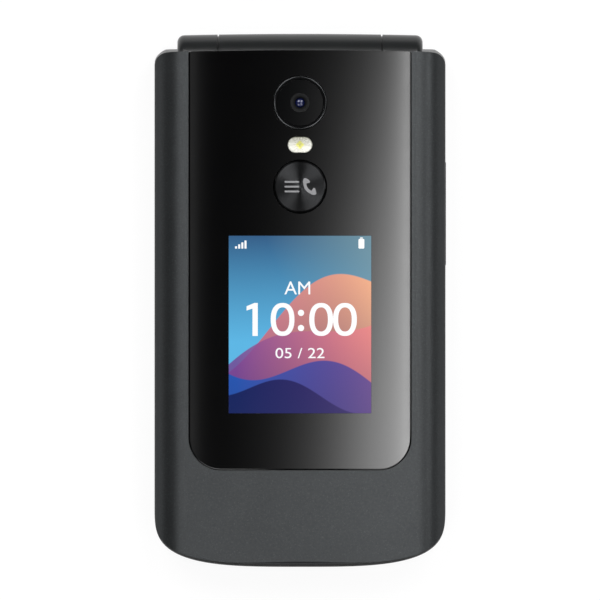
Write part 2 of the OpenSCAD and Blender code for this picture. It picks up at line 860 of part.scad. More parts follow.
antenna_corner_r = 0.8;
antenna_slot_in = 2.5;
antenna_slot_l = 1.2;
antenna_slot_depth = 0.4;

module antenna() color([0.8, 0.66, 0.4]) {
    difference() {
        pad(
            antenna_x, antenna_y, antenna_z,
            antenna_w, antenna_l, web_z - glue - antenna_z, antenna_corner_r
        );
        block(
            antenna_x, antenna_y + antenna_slot_l, antenna_z - cut,
            antenna_w - 2 * antenna_slot_in, antenna_slot_l, cut + antenna_slot_depth
        );
    }
}

module base_screws() color([0.55, 0.55, 0.57]) {
    for (p = base_screw_places) {
        disc(p.x, p.y, web_z - glue - screw_head_h, screw_head_r, screw_head_h);
        disc(p.x, p.y, web_z - glue, screw_r, face_z - glue - web_z);
    }
}

module volume_key() color([0.62, 0.63, 0.65]) {
    inner_x = half_w - base_wall - volume_play;
    translate([inner_x, volume_y - volume_l / 2, volume_z])
        cube([half_w + volume_proud - inner_x, volume_l, volume_h]);
    translate([half_w - volume_reach, volume_y - volume_l / 2 - volume_lip, volume_z - volume_lip / 2])
        cube([volume_lip_t, volume_l + 2 * volume_lip, volume_h + volume_lip / 2]);
}

// ---- Keys ----

module key_body(x, y, w, l) {
    pillow_z = key_top - key_pillow_r;
    half_angle = asin(w / 2 / key_pillow_r) + 1;
    intersection() {
        pad(x, y, flange_z + glue, w, l, key_top - flange_z, key_corner_r);
        translate([x, y + l, 0]) rotate([90, 0, 0]) linear_extrude(2 * l) polygon(concat(
            [[w, flange_z - cut]],
            arc(0, pillow_z, key_pillow_r, 90 - half_angle, 90 + half_angle, 8),
            [[-w, flange_z - cut]]
        ));
    }
    pad(x, y, flange_z, w + 2 * flange_w, l + 2 * flange_w, flange_t, key_corner_r + flange_w);
}

module number_key(column, row) color([0.16, 0.17, 0.18]) {
    key_body(number_columns[column], row_y(row), key_w, key_l);
}

module side_key(side, y) color([0.2, 0.21, 0.22]) {
    key_body(side * side_key_x, y, side_key_w, side_key_l);
}

module key_1() number_key(0, 3);
module key_2() number_key(1, 3);
module key_3() number_key(2, 3);
module key_4() number_key(0, 2);
module key_5() number_key(1, 2);
module key_6() number_key(2, 2);
module key_7() number_key(0, 1);
module key_8() number_key(1, 1);
module key_9() number_key(2, 1);
module key_star() number_key(0, 0);
module key_0() number_key(1, 0);
module key_hash() number_key(2, 0);
module soft_left() side_key(-1, soft_y);
module soft_right() side_key(1, soft_y);
module send_key() side_key(-1, send_y);
module end_key() side_key(1, send_y);

module clear_key() color([0.16, 0.17, 0.18]) {
    key_body(0, clear_y, key_w, clear_l);
}

nav_edge_w = 0.5;
nav_edge_h = 0.25;
nav_dish = 0.2;
ok_edge_w = 0.6;
ok_edge_h = 0.2;
ok_drop = 0.1;

// Dished ring: highest along its middle, lower toward the select key
module nav_ring() color([0.6, 0.61, 0.63]) {
    translate([0, nav_y, 0]) rotate_extrude($fn = 96) polygon([
        [nav_inner_r, flange_z],
        [nav_r + flange_w, flange_z],
        [nav_r + flange_w, flange_z + flange_t],
        [nav_r, flange_z + flange_t],
        [nav_r, key_top - nav_edge_h],
        [nav_r - nav_edge_w, key_top - glue],
        [(nav_r + nav_inner_r) / 2, key_top],
        [nav_inner_r + nav_edge_w, key_top - nav_dish],
        [nav_inner_r, key_top - 2 * nav_dish]
    ]);
}

module ok_key() color([0.2, 0.21, 0.22]) {
    translate([0, nav_y, 0]) rotate_extrude($fn = 64) polygon([
        [0, flange_z],
        [ok_r, flange_z],
        [ok_r, key_top - ok_drop - ok_edge_h - glue],
        [ok_r - ok_edge_w, key_top - ok_drop - glue],
        [0, key_top - ok_drop]
    ]);
}

// ---- Lid ----

fold_edge_w = 0.25;
fold_edge_h = 0.3;
fold_edge = [[lid_z, fold_edge_w], [lid_z + fold_edge_h, 0]];
lid_rings = concat(
    fold_edge,
    [for (angle = [0, 22.5, 45, 67.5, 90])
        [lid_top + glue - lid_end_roll * (1 - sin(angle)), lid_end_roll * (1 - cos(angle))]]
);

module lid_form() {
    intersection() {
        plan_skin(lid_rings, lid_bulge, lid_top_y);
        lid_prism(0);
    }
}

module lid_cavity() {
    intersection() {
        translate([0, 0, lid_split - cut]) linear_extrude(shelf_z - lid_split + cut)
            polygon(plan(lid_wall, lid_bulge, lid_cavity_y));
        lid_prism(lid_wall);
    }
}

// The panel's outline, open toward the hinge, drawn in by inset
module panel_outline(inset) {
    a = panel_w / 2 - inset;
    r = panel_corner_r - inset;
    low = panel_y + inset;
    linear_extrude(lid_top + cut) polygon(concat(
        [[a, phone_l]],
        arc(a - r, low + r, r, 0, -90, 8),
        arc(r - a, low + r, r, -90, -180, 8),
        [[-a, phone_l]]
    ));
}

camera_seat_h = 0.4;
camera_ledge_w = 1.6;
flash_seat_h = 0.5;
flash_ledge_w = 0.6;
flash_ledge_h = 0.15;
flash_hole_corner_r = 0.4;
outer_opening_margin = 0.4;
outer_opening_corner_r = 0.6;
boss_step = 1;
boss_sink = 0.3;

module lid_front_cover() color([0.33, 0.34, 0.35]) {
    seat_reach = shelf_t + panel_t + cut;
    boss_h = shelf_z - lid_split - boss_step;
    difference() {
        union() {
            difference() {
                intersection() {
                    lid_form();
                    slab(lid_split + glue, lid_top + cut);
                }
                past_end(-end_lean);
                along_hinge(-room_half, room_half, room_r);
                lid_cavity();
            }
            // Screw bosses under the shelf
            for (p = lid_screw_places)
                translate([p.x, p.y, lid_split + boss_step])
                    cylinder(h = boss_h + boss_sink, r = boss_r, $fn = 32);
        }
        for (p = lid_screw_places)
            disc(p.x, p.y, lid_split, screw_r + screw_bite, shelf_z - lid_split + 2 * glue);
        // Pocket for the panel
        difference() {
            panel_outline(-fit);
            lid_prism(panel_t + glue);
        }
        // Seats through the shelf
        disc(0, camera_y, shelf_top - camera_seat_h, camera_ring_r + fit, seat_reach);
        disc(0, camera_y, shelf_z - cut, camera_ring_r - camera_ledge_w, seat_reach);
        disc(0, call_y, shelf_z - cut, call_r + call_gap, seat_reach);
        pad(
            0, flash_y, shelf_z - cut,
            flash_l - 2 * flash_ledge_w, flash_h - 2 * flash_ledge_h, seat_reach, flash_hole_corner_r
        );
        pad(
            0, flash_y, shelf_top - flash_seat_h,
            flash_l + 2 * fit, flash_h + 2 * fit, seat_reach, flash_h / 2
        );
        pad(
            0, outer_display_y, shelf_z - cut,
            outer_view_w + 2 * outer_opening_margin, outer_view_h + 2 * outer_opening_margin,
            seat_reach, outer_opening_corner_r
        );
    }
}

module lid_panel() color([0.03, 0.03, 0.035]) {
    difference() {
        intersection() {
            panel_outline(0);
            lid_prism(0);
            slab(shelf_z - cut, lid_top + cut);
        }
        lid_prism(panel_t);
        past_end(-end_lean);
        disc(0, camera_y, shelf_z - cut, camera_ring_r + fit, lid_top);
        disc(0, call_y, shelf_z - cut, call_r + call_gap, lid_top);
        pad(0, flash_y, shelf_z - cut, flash_l + 2 * fit, flash_h + 2 * fit, lid_top, flash_h / 2);
    }
}

window_corner_r = 1.2;
ear_slot_w = 9;
ear_slot_l = 1.6;
mesh_lap = 0.6;
mesh_room = 0.1;
mesh_t = 0.25;
mesh_rise = 0.3;
hinge_web_lap = 0.5;

// Flat cable from the hinge into the lid
flex_w = 4.8;
flex_t = 0.25;
flex_room = 0.3;
flex_inset = 9.1;
flex_end_x = middle_half - flex_inset;
flex_tail_l = 7.8;
flex_rise = 1;
flex_slot_h = 0.7;
flex_turn_l = 2.4;

module lid_inner_housing() color([0.1, 0.11, 0.11]) {
    flex_slot_y = hinge_y - flex_tail_l - flex_slot_h;
    flex_slot_z = hinge_z + flex_rise - flex_t + glue;
    through = inner_plate_t + 2 * cut;
    difference() {
        union() {
            difference() {
                intersection() {
                    plan_skin(concat(fold_edge, [[lid_split + cut, 0]]), lid_bulge, lid_top_y);
                    slab(lid_z - cut, lid_split);
                }
                past_end(-end_lean);
                along_hinge(-room_half, room_half, room_r);
            }
            knuckle(0, middle_half, false);
            mirror([1, 0, 0]) knuckle(0, middle_half, false);
            // Web that joins the middle knuckle to the plate
            translate([-middle_half, hinge_y - room_r - hinge_web_lap, lid_z])
                cube([2 * middle_half, room_r, inner_plate_t]);
            for (p = lid_screw_places)
                disc(p.x, p.y, lid_split - 2 * glue, boss_r, boss_step);
        }
        // Window and display opening
        pad(
            0, inner_display_y, lid_z - cut,
            inner_window_w + 2 * fit, inner_window_l + 2 * fit,
            cut + inner_window_t + 2 * glue, window_corner_r
        );
        block(0, inner_display_y, lid_z - cut, inner_opening_w, inner_opening_l, through);
        // Earpiece slot and its seat
        pad(0, earpiece_y, lid_z - cut, ear_slot_w, ear_slot_l, through, ear_slot_l / 2 - 0.01);
        pad(
            0, earpiece_y, lid_z + mesh_rise,
            ear_slot_w + 2 * (mesh_lap + mesh_room), ear_slot_l + 2 * (mesh_lap + mesh_room),
            mesh_t + 3 * glue, mesh_lap + ear_slot_l / 4
        );
        for (p = lid_screw_places) {
            disc(p.x, p.y, lid_z - cut, bumper_r + glue, cut + bumper_h - fold_gap + bumper_gap + glue);
            disc(p.x, p.y, lid_z - cut, screw_hole_r, through);
            disc(p.x, p.y, lid_z, screw_head_r + 2 * glue, lid_head_z + screw_head_h + glue - lid_z);
        }
        // Hinge bores and the flat cable's way out
        along_hinge(middle_half - cartridge_l - knuckle_floor, middle_half + cut, cartridge_r + glue);
        along_hinge(-middle_half - cut, middle_half - cartridge_l, tube_r + 2 * glue);
        translate([-flex_end_x - flex_w - flex_room, flex_slot_y, flex_slot_z])
            cube([flex_w + 2 * flex_room, hinge_y - flex_slot_y, flex_slot_h]);
        translate([-flex_end_x - flex_w - flex_room, flex_slot_y, flex_slot_z])
            cube([flex_w + 2 * flex_room, flex_turn_l, inner_plate_t + cut]);
    }
}

module inner_window() color([0.1, 0.11, 0.12, 0.6]) {
    pad(
        0, inner_display_y, lid_z + glue,
        inner_window_w, inner_window_l, inner_window_t, window_corner_r - fit
    );
}

display_corner_r = 0.8;

module inner_display() color([0.18, 0.19, 0.22]) {
    pad(
        0, inner_display_y, inner_display_z,
        inner_module_w, inner_module_l, inner_display_t, display_corner_r
    );
}

module outer_display() color([0.2, 0.25, 0.45]) {
    pad(
        0, outer_display_y, outer_display_z,
        outer_module_w, outer_module_l, outer_display_t, display_corner_r
    );
}

lid_board_inset = 2;

module lid_board() color([0.1, 0.3, 0.16]) {
    block(
        0, inner_display_y, lid_board_z,
        inner_module_w - 2 * lid_board_inset, inner_module_l, lid_board_t
    );
}

ring_land_w = 0.8;
ring_edge = 0.2;
window_recess = 0.25;
window_t = 0.7;

module camera_ring() color([0.8, 0.81, 0.82]) {
    seat_z = shelf_top - camera_seat_h + glue;
    land_z = shelf_top + glue;
    translate([0, camera_y, 0]) rotate_extrude($fn = 96) polygon([
        [camera_window_r - ring_land_w, seat_z],
        [camera_ring_r, seat_z],
        [camera_ring_r, lid_top + camera_proud - ring_edge],
        [camera_ring_r - ring_edge, lid_top + camera_proud],
        [camera_window_r + glue, lid_top - window_recess],
        [camera_window_r + glue, land_z],
        [camera_window_r - ring_land_w, land_z]
    ]);
}

module camera_window() color([0.05, 0.06, 0.08, 0.7]) {
    disc(0, camera_y, shelf_top + 2 * glue, camera_window_r, window_t);
}

camera_barrel_r = 3.3;
camera_lens_r = 2.2;
camera_lens_rise = 0.8;
camera_barrel_drop = 0.2;

module camera_module() color([0.12, 0.12, 0.13]) {
    body_top = shelf_z - 2 * glue;
    barrel_top = shelf_top - camera_barrel_drop;
    difference() {
        union() {
            block(
                0, camera_body_y, inner_display_z,
                camera_body_w, camera_body_w, body_top - inner_display_z
            );
            disc(0, camera_y, body_top - cut, camera_barrel_r, barrel_top - body_top + cut);
        }
        disc(0, camera_y, body_top + camera_lens_rise, camera_lens_r, lid_top);
    }
}

flash_led_in = 0.75;
flash_led_side = 0.3;

module flash_lens() color([0.95, 0.94, 0.88, 0.8]) {
    flash_z = shelf_top - flash_seat_h + glue;
    pad(0, flash_y, flash_z, flash_l, flash_h, lid_top - glue - flash_z, flash_h / 2 - 0.01);
}

module flash_led() color([0.95, 0.85, 0.4]) {
    led_z = lid_board_top + glue;
    block(
        0, flash_y, led_z,
        flash_l - 2 * flash_led_in, flash_h - 2 * flash_led_side, shelf_top - flash_seat_h - led_z
    );
}

call_chamfer_w = 0.4;
call_chamfer_h = 0.35;
call_land_w = 0.5;

// Button with a chamfered rim and a slightly crowned face; its flange stops it under the shelf
module call_button() color([0.35, 0.36, 0.37]) {
    flange_top = call_flange_z + call_flange_t;
    rim_z = lid_top - 2 * glue;
    translate([0, call_y, 0]) rotate_extrude($fn = 96) polygon([
        [0, call_flange_z],
        [call_r + call_flange_w, call_flange_z],
        [call_r + call_flange_w, flange_top],
        [call_r, flange_top],
        [call_r, rim_z - call_chamfer_h],
        [call_r - call_chamfer_w, rim_z],
        [call_r - call_chamfer_w - call_land_w, rim_z + glue],
        [0, lid_top]
    ]);
}

call_switch_r = 2.2;
call_switch_top_r = 1.4;

module call_switch() color([0.75, 0.76, 0.78]) {
    switch_z = lid_board_top + glue / 2;
    translate([0, call_y, switch_z])
        cylinder(
            h = call_flange_z - call_travel - glue - switch_z,
            r1 = call_switch_r, r2 = call_switch_top_r, $fn = 32
        );
}

earpiece_w = 12;
earpiece_l = 5;
earpiece_h = 2.4;
earpiece_corner_r = 1.5;

module earpiece() color([0.2, 0.2, 0.21]) {
    pad(0, earpiece_y, inner_display_z, earpiece_w, earpiece_l, earpiece_h, earpiece_corner_r);
}

module earpiece_mesh() color([0.5, 0.51, 0.52]) {
    pad(
        0, earpiece_y, lid_z + mesh_rise + glue,
        ear_slot_w + 2 * mesh_lap, ear_slot_l + 2 * mesh_lap, mesh_t, mesh_lap + ear_slot_l / 4 - mesh_room
    );
}

module lid_bumpers() color([0.05, 0.05, 0.05]) {
    for (p = lid_screw_places)
        disc(p.x, p.y, base_h + bumper_gap, bumper_r, bumper_h);
}

module lid_screws() color([0.55, 0.55, 0.57]) {
    for (p = lid_screw_places) {
        disc(p.x, p.y, lid_head_z, screw_head_r, screw_head_h);
        disc(p.x, p.y, lid_head_z, screw_r, shelf_z - lid_head_z);
    }
}

magnet_in = 14.7;
magnet_w = 5;
magnet_l = 3;
magnet_h = 1.2;

module lid_magnet() color([0.6, 0.6, 0.62]) {
    block(half_w - magnet_in, earpiece_y, inner_display_z, magnet_w, magnet_l, magnet_h);
}

// ---- Hinge unit ----

cartridge_floor = 1.5;
shaft_start = 2;
shaft_lap = 1;

module hinge_cartridge() color([0.7, 0.7, 0.72]) {
    cartridge_x = middle_half - 2 * glue - cartridge_l;
    difference() {
        along_hinge(cartridge_x, middle_half - 2 * glue, cartridge_r);
        along_hinge(cartridge_x + cartridge_floor, middle_half, shaft_r + glue);
    }
}

// Thin in the cartridge, thick where the outer knuckle holds it
module hinge_shaft() color([0.75, 0.75, 0.77]) {
    along_hinge(middle_half - 2 * glue - cartridge_l + shaft_start, outer_start + shaft_lap, shaft_r);
    along_hinge(outer_start, barrel_half - knuckle_floor - 2 * glue, tube_r);
}

tube_inset = 3.3;
tube_end_x = middle_half - tube_inset;

module hinge_tube() color([0.7, 0.7, 0.72]) {
    difference() {
        along_hinge(knuckle_floor + 2 * glue - barrel_half, -tube_end_x, tube_r);
        along_hinge(-barrel_half, cut - tube_end_x, tube_bore_r);
    }
}

flex_bore_room = 0.3;
flex_run_l = 10;

module display_flex() color([0.75, 0.45, 0.15]) {
    tail_y = hinge_y - flex_tail_l;
    tail_z = hinge_z + flex_rise;
    along_hinge(knuckle_floor + flex_bore_room - barrel_half, -flex_end_x, tube_bore_r - flex_bore_room);
    // Out of the knuckle, up through the plate, and along the lid's board
    translate([-flex_end_x - flex_w, tail_y, tail_z]) cube([flex_w, flex_tail_l, flex_t]);
    translate([-flex_end_x - flex_w, tail_y, tail_z])
        cube([flex_w, flex_t + glue, lid_board_top + flex_t + glue - tail_z]);
    translate([-flex_end_x - flex_w, tail_y - flex_run_l, lid_board_top + glue])
        cube([flex_w, flex_run_l + flex_t + glue, flex_t]);
}

base_front_housing();
base_rear_housing();
battery_cover();
main_board();
dome_sheet();
keypad_membrane();
shield_can();
battery();
battery_contacts();
loudspeaker();
vibration_motor();
headphone_jack();
usb_port();
microphone();
sim_holder();
antenna();
base_screws();
hinge_shaft();
hinge_tube();
volume_key();
key_1();
key_2();
key_3();
key_4();
key_5();
key_6();
key_7();
key_8();
key_9();
key_star();
key_0();
key_hash();
soft_left();
soft_right();
send_key();
end_key();
clear_key();
nav_ring();
ok_key();
lid_front_cover();
lid_panel();
lid_inner_housing();
inner_window();
inner_display();
outer_display();
lid_board();
camera_ring();
camera_window();
camera_module();
flash_lens();
flash_led();
call_button();
call_switch();
earpiece();
earpiece_mesh();
lid_bumpers();
lid_screws();
lid_magnet();
hinge_cartridge();
display_flex();
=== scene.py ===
import math

import bmesh
import bpy
from mathutils import Matrix, Vector


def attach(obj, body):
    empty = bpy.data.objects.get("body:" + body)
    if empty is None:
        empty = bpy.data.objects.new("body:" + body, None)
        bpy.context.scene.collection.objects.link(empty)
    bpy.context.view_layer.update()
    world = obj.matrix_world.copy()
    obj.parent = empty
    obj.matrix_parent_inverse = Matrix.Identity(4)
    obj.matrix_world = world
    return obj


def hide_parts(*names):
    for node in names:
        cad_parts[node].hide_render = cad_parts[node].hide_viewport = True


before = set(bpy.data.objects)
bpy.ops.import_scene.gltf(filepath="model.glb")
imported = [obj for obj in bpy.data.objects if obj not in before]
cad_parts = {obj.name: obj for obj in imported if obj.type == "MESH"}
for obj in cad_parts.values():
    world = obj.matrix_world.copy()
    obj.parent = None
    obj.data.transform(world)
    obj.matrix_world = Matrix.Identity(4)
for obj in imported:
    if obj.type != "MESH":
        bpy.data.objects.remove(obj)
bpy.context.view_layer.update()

# ---- Battery cover ----
# The phone's back: a shallow moulded tray with a rolled rim, satin black inside and out.
# It slides off toward the bottom end; slots near the hinge let the loudspeaker's sound out.

# Sizes are in millimetres, from the middle of the closed phone's footprint
half_w = 28.7
bottom_y = -52.6
bulge_y = -40.8
base_bulge = 11.8
end_power = 3.4
hinge_y = 48.0
hinge_z = 10.395
end_lean = math.tan(math.radians(10))
base_top_y = 49.683
back_roll_h = 4.2
back_roll_w = 3.2
base_wall = 1.3
# How many points an outline has along half its bottom end, a side and a corner at the hinge
half_bottom = 48
side_steps = 44
corner_steps = 8
# Points of the bottom end that lie over a corner at the hinge
margin = 4


def stand(name, data):
    """A new object for the data, shown in the scene"""
    piece = bpy.data.objects.new(name, data)
    bpy.context.scene.collection.objects.link(piece)
    return piece


def walk(points, count):
    """The same line with its points set out evenly along it"""
    lengths = [0]
    for p, q in zip(points, points[1:]):
        lengths.append(lengths[-1] + math.dist(p, q))
    even, k = [], 0
    for i in range(count + 1):
        reach = lengths[-1] * i / count
        while k < len(points) - 2 and lengths[k + 1] < reach:
            k += 1
        share = (reach - lengths[k]) / max(lengths[k + 1] - lengths[k], 1e-9)
        (x0, y0), (x1, y1) = points[k], points[k + 1]
        even.append((x0 + (x1 - x0) * share, y0 + (y1 - y0) * share))
    return even


def arc(x, y, r, start, end, steps):
    """Points along part of a circle, from one angle to another in degrees"""
    turns = [math.radians(start + (end - start) * i / steps) for i in range(steps + 1)]
    return [(x + r * math.cos(t), y + r * math.sin(t)) for t in turns]


def close_outline(bottom, a, r, top_y):
    """Bottom end from right to left, then the left side, the hinge end and the right side"""
    bottom = walk(bottom, 2 * half_bottom)
    start_y = bottom[0][1]
    heights = [start_y + (top_y - r - start_y) * (k + 1) / side_steps for k in range(side_steps)]
    narrow = min(1, (a - r) * 0.9995 / bottom[margin][0])
    across = [(x * narrow, top_y) for x, y in bottom[2 * half_bottom - margin:margin - 1:-1]]
    return (
        bottom
        + [(-a, y) for y in heights]
        + arc(r - a, top_y - r, r, 180, 90, corner_steps)[1:]
        + across
        + arc(a - r, top_y - r, r, 90, 0, corner_steps)
        + [(a, y) for y in heights[-2::-1]]
    )


def plan(inset, bulge, top_y):
    """Outline of either half seen from above, drawn in by inset"""
    a, b = half_w - inset, bulge - inset
    turns = [math.pi * k / 900 for k in range(901)]
    bottom = [
        (
            a * math.copysign(abs(math.cos(t)) ** (2 / end_power), math.cos(t)),
            bulge_y - b * max(math.sin(t), 0) ** (2 / end_power),
        )
        for t in turns
    ]
    return close_outline(bottom, a, max(2.2 - inset, 0.3), top_y)


def lean(points, top_y, drop):
    """Sets the hinge end on its leaning wall; drop(z) is the height that the lean works over"""
    leant = []
    for x, y, z in points:
        share = max(0, min(1, (y - top_y + 8) / 8)) ** 2
        leant.append((x, y - share * drop(z) * end_lean, z))
    return leant


def long_strips(n, offset, upward):
    """Fills a ring with strips that run from the bottom end to the hinge end"""
    first, last = margin, 2 * half_bottom - margin
    corner = 2 * half_bottom + side_steps + corner_steps + 1

    def partner(i):
        return corner + last - i

    faces = [tuple(range(last, partner(last) + 1))]
    faces.append(tuple(range(partner(first), n)) + tuple(range(first + 1)))
    faces += [(i, i + 1, partner(i + 1), partner(i)) for i in range(first, last)]
    return [tuple(offset + v for v in face)[:: 1 if upward else -1] for face in faces]


def skin(rings, curved_floor=False, curved_roof=False):
    """Points and faces of a closed form over rings; a curved end is filled with strips"""
    n = len(rings[0])
    points = [p for ring in rings for p in ring]
    faces = []
    for k in range(len(rings) - 1):
        for i in range(n):
            j = (i + 1) % n
            faces.append((k * n + i, k * n + j, (k + 1) * n + j, (k + 1) * n + i))
    last = (len(rings) - 1) * n
    for offset, curved, up in ((0, curved_floor, False), (last, curved_roof, True)):
        faces += long_strips(n, offset, up) if curved else [tuple(range(offset, offset + n))]
    return points, faces


def blank(name, points, faces):
    """A closed mesh object, still in millimetres"""
    mesh = bpy.data.meshes.new(name)
    mesh.from_pydata(points, [], faces)
    work = bmesh.new()
    work.from_mesh(mesh)
    bmesh.ops.remove_doubles(work, verts=work.verts, dist=1e-5)
    bmesh.ops.recalc_face_normals(work, faces=work.faces)
    work.to_mesh(mesh)
    work.free()
    return stand(name, mesh)


def drop_object(piece):
    """Takes a tool that has done its work out of the file"""
    mesh = piece.data
    bpy.data.objects.remove(piece)
    bpy.data.meshes.remove(mesh)


def carve(piece, *tools, operation="DIFFERENCE"):
    """Cuts the tools out of a piece, or joins them to it, all in one step"""
    kit = bpy.data.collections.new("kit")
    for tool in tools:
        kit.objects.link(tool)
    step = piece.modifiers.new("carve", "BOOLEAN")
    step.operation = operation
    step.solver = "EXACT"
    step.operand_type = "COLLECTION"
    step.collection = kit
    seen = piece.evaluated_get(bpy.context.evaluated_depsgraph_get())
    mesh = bpy.data.meshes.new_from_object(seen)
    piece.modifiers.clear()
    old, piece.data = piece.data, mesh
    bpy.data.meshes.remove(old)
    for tool in tools:
        drop_object(tool)
    bpy.data.collections.remove(kit)
    work = bmesh.new()
    work.from_mesh(mesh)
    bmesh.ops.remove_doubles(work, verts=work.verts, dist=2e-4)
    bmesh.ops.dissolve_degenerate(work, edges=work.edges, dist=1e-4)
    work.to_mesh(mesh)
    work.free()
    return piece


def rounded(x, y, w, l, r, steps=8):
    """Rounded rectangle, clockwise from above"""
    return (
        arc(x + w / 2 - r, y + l / 2 - r, r, 90, 0, steps)
        + arc(x + w / 2 - r, y - l / 2 + r, r, 0, -90, steps)
        + arc(x - w / 2 + r, y - l / 2 + r, r, -90, -180, steps)
        + arc(x - w / 2 + r, y + l / 2 - r, r, 180, 90, steps)
    )


def pad(x, y, w, l, r, levels, steps=8):
    """Upright rounded block; levels are (height, how far it stands in) from the bottom up"""
    rings = [
        [(px, py, z) for px, py in rounded(x, y, w - 2 * d, l - 2 * d, max(r - d, 0.02), steps)]
        for z, d in levels
    ]
    return blank("pad", *skin(rings))


def turned(profile, centre, along_x=False, steps=96, closed=False):
    """A lathe form round an upright or a crosswise axis; profile is (radius, height) pairs"""
    points, faces, rings = [], [], []
    for r, h in profile:
        if r < 1e-6:
            rings.append([len(points)] * steps)
            points.append((0, 0, h))
        else:
            rings.append(list(range(len(points), len(points) + steps)))
            for i in range(steps):
                t = 2 * math.pi * i / steps
                points.append((r * math.cos(t), r * math.sin(t), h))
    pairs = list(zip(rings, rings[1:])) + ([(rings[-1], rings[0])] if closed else [])
    for low, high in pairs:
        for i in range(steps):
            j = (i + 1) % steps
            corners = [low[i], low[j], high[j], high[i]]
            face = [v for k, v in enumerate(corners) if v not in corners[:k]]
            if len(face) > 2:
                faces.append(tuple(face))
    x0, y0, z0 = centre
    if along_x:
        points = [(x0 + h, y0 + r1, z0 + r2) for r1, r2, h in points]
    else:
        points = [(x0 + px, y0 + py, z0 + h) for px, py, h in points]
    return blank("turned", points, faces)


def rod(x0, x1, r):
    """Cutting tool along the hinge"""
    return turned([(0, x0), (r, x0), (r, x1), (0, x1)], (0, hinge_y, hinge_z), along_x=True)


def box(x0, x1, y0, y1, z0, z1):
    """Cutting tool with square corners"""
    ring = [(x0, y0), (x0, y1), (x1, y1), (x1, y0)]
    return blank("box", *skin([[(x, y, z) for x, y in ring] for z in (z0, z1)]))


def seat(piece, name, body, finish, nodes=(), crease=32):
    """Puts a made piece in its place: metres, smooth shading, finish and body"""
    piece.name = piece.data.name = name
    piece.data.transform(Matrix.Scale(0.001, 4))
    piece.data.polygons.foreach_set("use_smooth", [True] * len(piece.data.polygons))
    piece.data.set_sharp_from_angle(angle=math.radians(crease))
    flatten = piece.modifiers.new("face_weighted_normals", "WEIGHTED_NORMAL")
    flatten.keep_sharp = True
    flatten.weight = 60
    piece.data.materials.clear()
    piece.data.materials.append(finish)
    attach(piece, body)
    if nodes:
        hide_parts(*nodes)
    return piece


def wire(tree, made, sockets):
    """Sets a node's sockets: each takes a plain value or what another node gives"""
    for name, value in sockets.items():
        if isinstance(value, bpy.types.NodeSocket):
            tree.links.new(value, made.inputs[name])
        else:
            made.inputs[name].default_value = value
    return made


def add_node(tree, kind, sockets={}, **settings):
    """Adds a node of a kind, with its settings and its sockets"""
    made = tree.nodes.new("ShaderNode" + kind)
    for name, value in settings.items():
        setattr(made, name, value)
    return wire(tree, made, sockets)


def new_finish(name, colour, roughness, sockets):
    """A finish with its plain values set on the shader itself"""
    finish = bpy.data.materials.new(name)
    finish.use_nodes = True
    shade = finish.node_tree.nodes["Principled BSDF"]
    wire(finish.node_tree, shade, {"Base Color": (*colour, 1), "Roughness": roughness, **sockets})
    return finish, finish.node_tree, shade


def place_of(tree, stretch=(1, 1, 1)):
    """The piece's own coordinates in millimetres"""
    where = add_node(tree, "TexCoord")
    scale = add_node(tree, "Mapping", {"Scale": [1000 * s for s in stretch], "Vector": where.outputs["Object"]})
    return scale.outputs["Vector"]


def noise(tree, size, detail=2, stretch=(1, 1, 1)):
    """Noise whose spots are about size millimetres across"""
    spots = {"Scale": 1 / size, "Detail": detail, "Vector": place_of(tree, stretch)}
    return add_node(tree, "TexNoise", spots).outputs["Fac"]


def spread(tree, value, low, high, start=0.3, end=0.7):
    """Maps a value between start and end onto the range from low to high"""
    ends = {"Value": value, "From Min": start, "From Max": end, "To Min": low, "To Max": high}
    return add_node(tree, "MapRange", ends).outputs["Result"]


def blend_colours(tree, share, first, second):
    """Mixes two colours, each written out or from another node"""
    mix = tree.nodes.new("ShaderNodeMix")
    mix.data_type = "RGBA"
    for socket, colour in (("A", first), ("B", second)):
        target = [s for s in mix.inputs if s.name == socket and s.type == "RGBA"][0]
        if isinstance(colour, bpy.types.NodeSocket):
            tree.links.new(colour, target)
        else:
            target.default_value = (*colour, 1)
    tree.links.new(share, mix.inputs["Factor"])
    return [s for s in mix.outputs if s.type == "RGBA"][0]


def relief(tree, shade, height, depth, below=None):
    """Bump of a depth in millimetres, over another bump where one is given"""
    sockets = {"Distance": depth / 1000, "Height": height}
    if below:
        sockets["Normal"] = below
    bump = add_node(tree, "Bump", sockets)
    tree.links.new(bump.outputs["Normal"], shade.inputs["Normal"])


def soft_edge(tree, radius):
    """Edges broken by a tool's small radius, in millimetres"""
    return add_node(tree, "Bevel", {"Radius": radius / 1000}, samples=4).outputs["Normal"]


def moulded(name, colour, roughness, grain=0.12, depth=0.004, edge=0.08, **sockets):
    """Moulded plastic: faint cloudiness in the colour and the sheen, and a fine cast grain"""
    finish, tree, shade = new_finish(name, colour, roughness, sockets)
    cloud = noise(tree, 9, 3)
    paler = [min(1, c * 1.14) for c in colour]
    darker = [c * 0.9 for c in colour]
    rub = spread(tree, noise(tree, 6, 2), roughness * 0.95, roughness * 1.06)
    wire(tree, shade, {"Base Color": blend_colours(tree, cloud, darker, paler), "Roughness": rub})
    relief(tree, shade, noise(tree, grain, 2), depth, soft_edge(tree, edge))
    return finish


def back_inset(z):
    """How far the rolled back edge stands in at a height"""
    share = min(1, z / back_roll_h)
    return back_roll_w * (1 - math.sqrt(1 - (1 - share) ** 2))


def base_rings(levels, top_y=base_top_y):
    """Outlines of the keypad half at (height, inset) pairs"""
    return [
        lean([(x, y, z) for x, y in plan(inset, base_bulge, top_y)], top_y, lambda h: h)
        for z, inset in levels
    ]


shell_black = moulded("satin_black_shell", (0.0095, 0.0104, 0.0107), 0.31, 0.2, 0.0012, **{"IOR": 1.5})

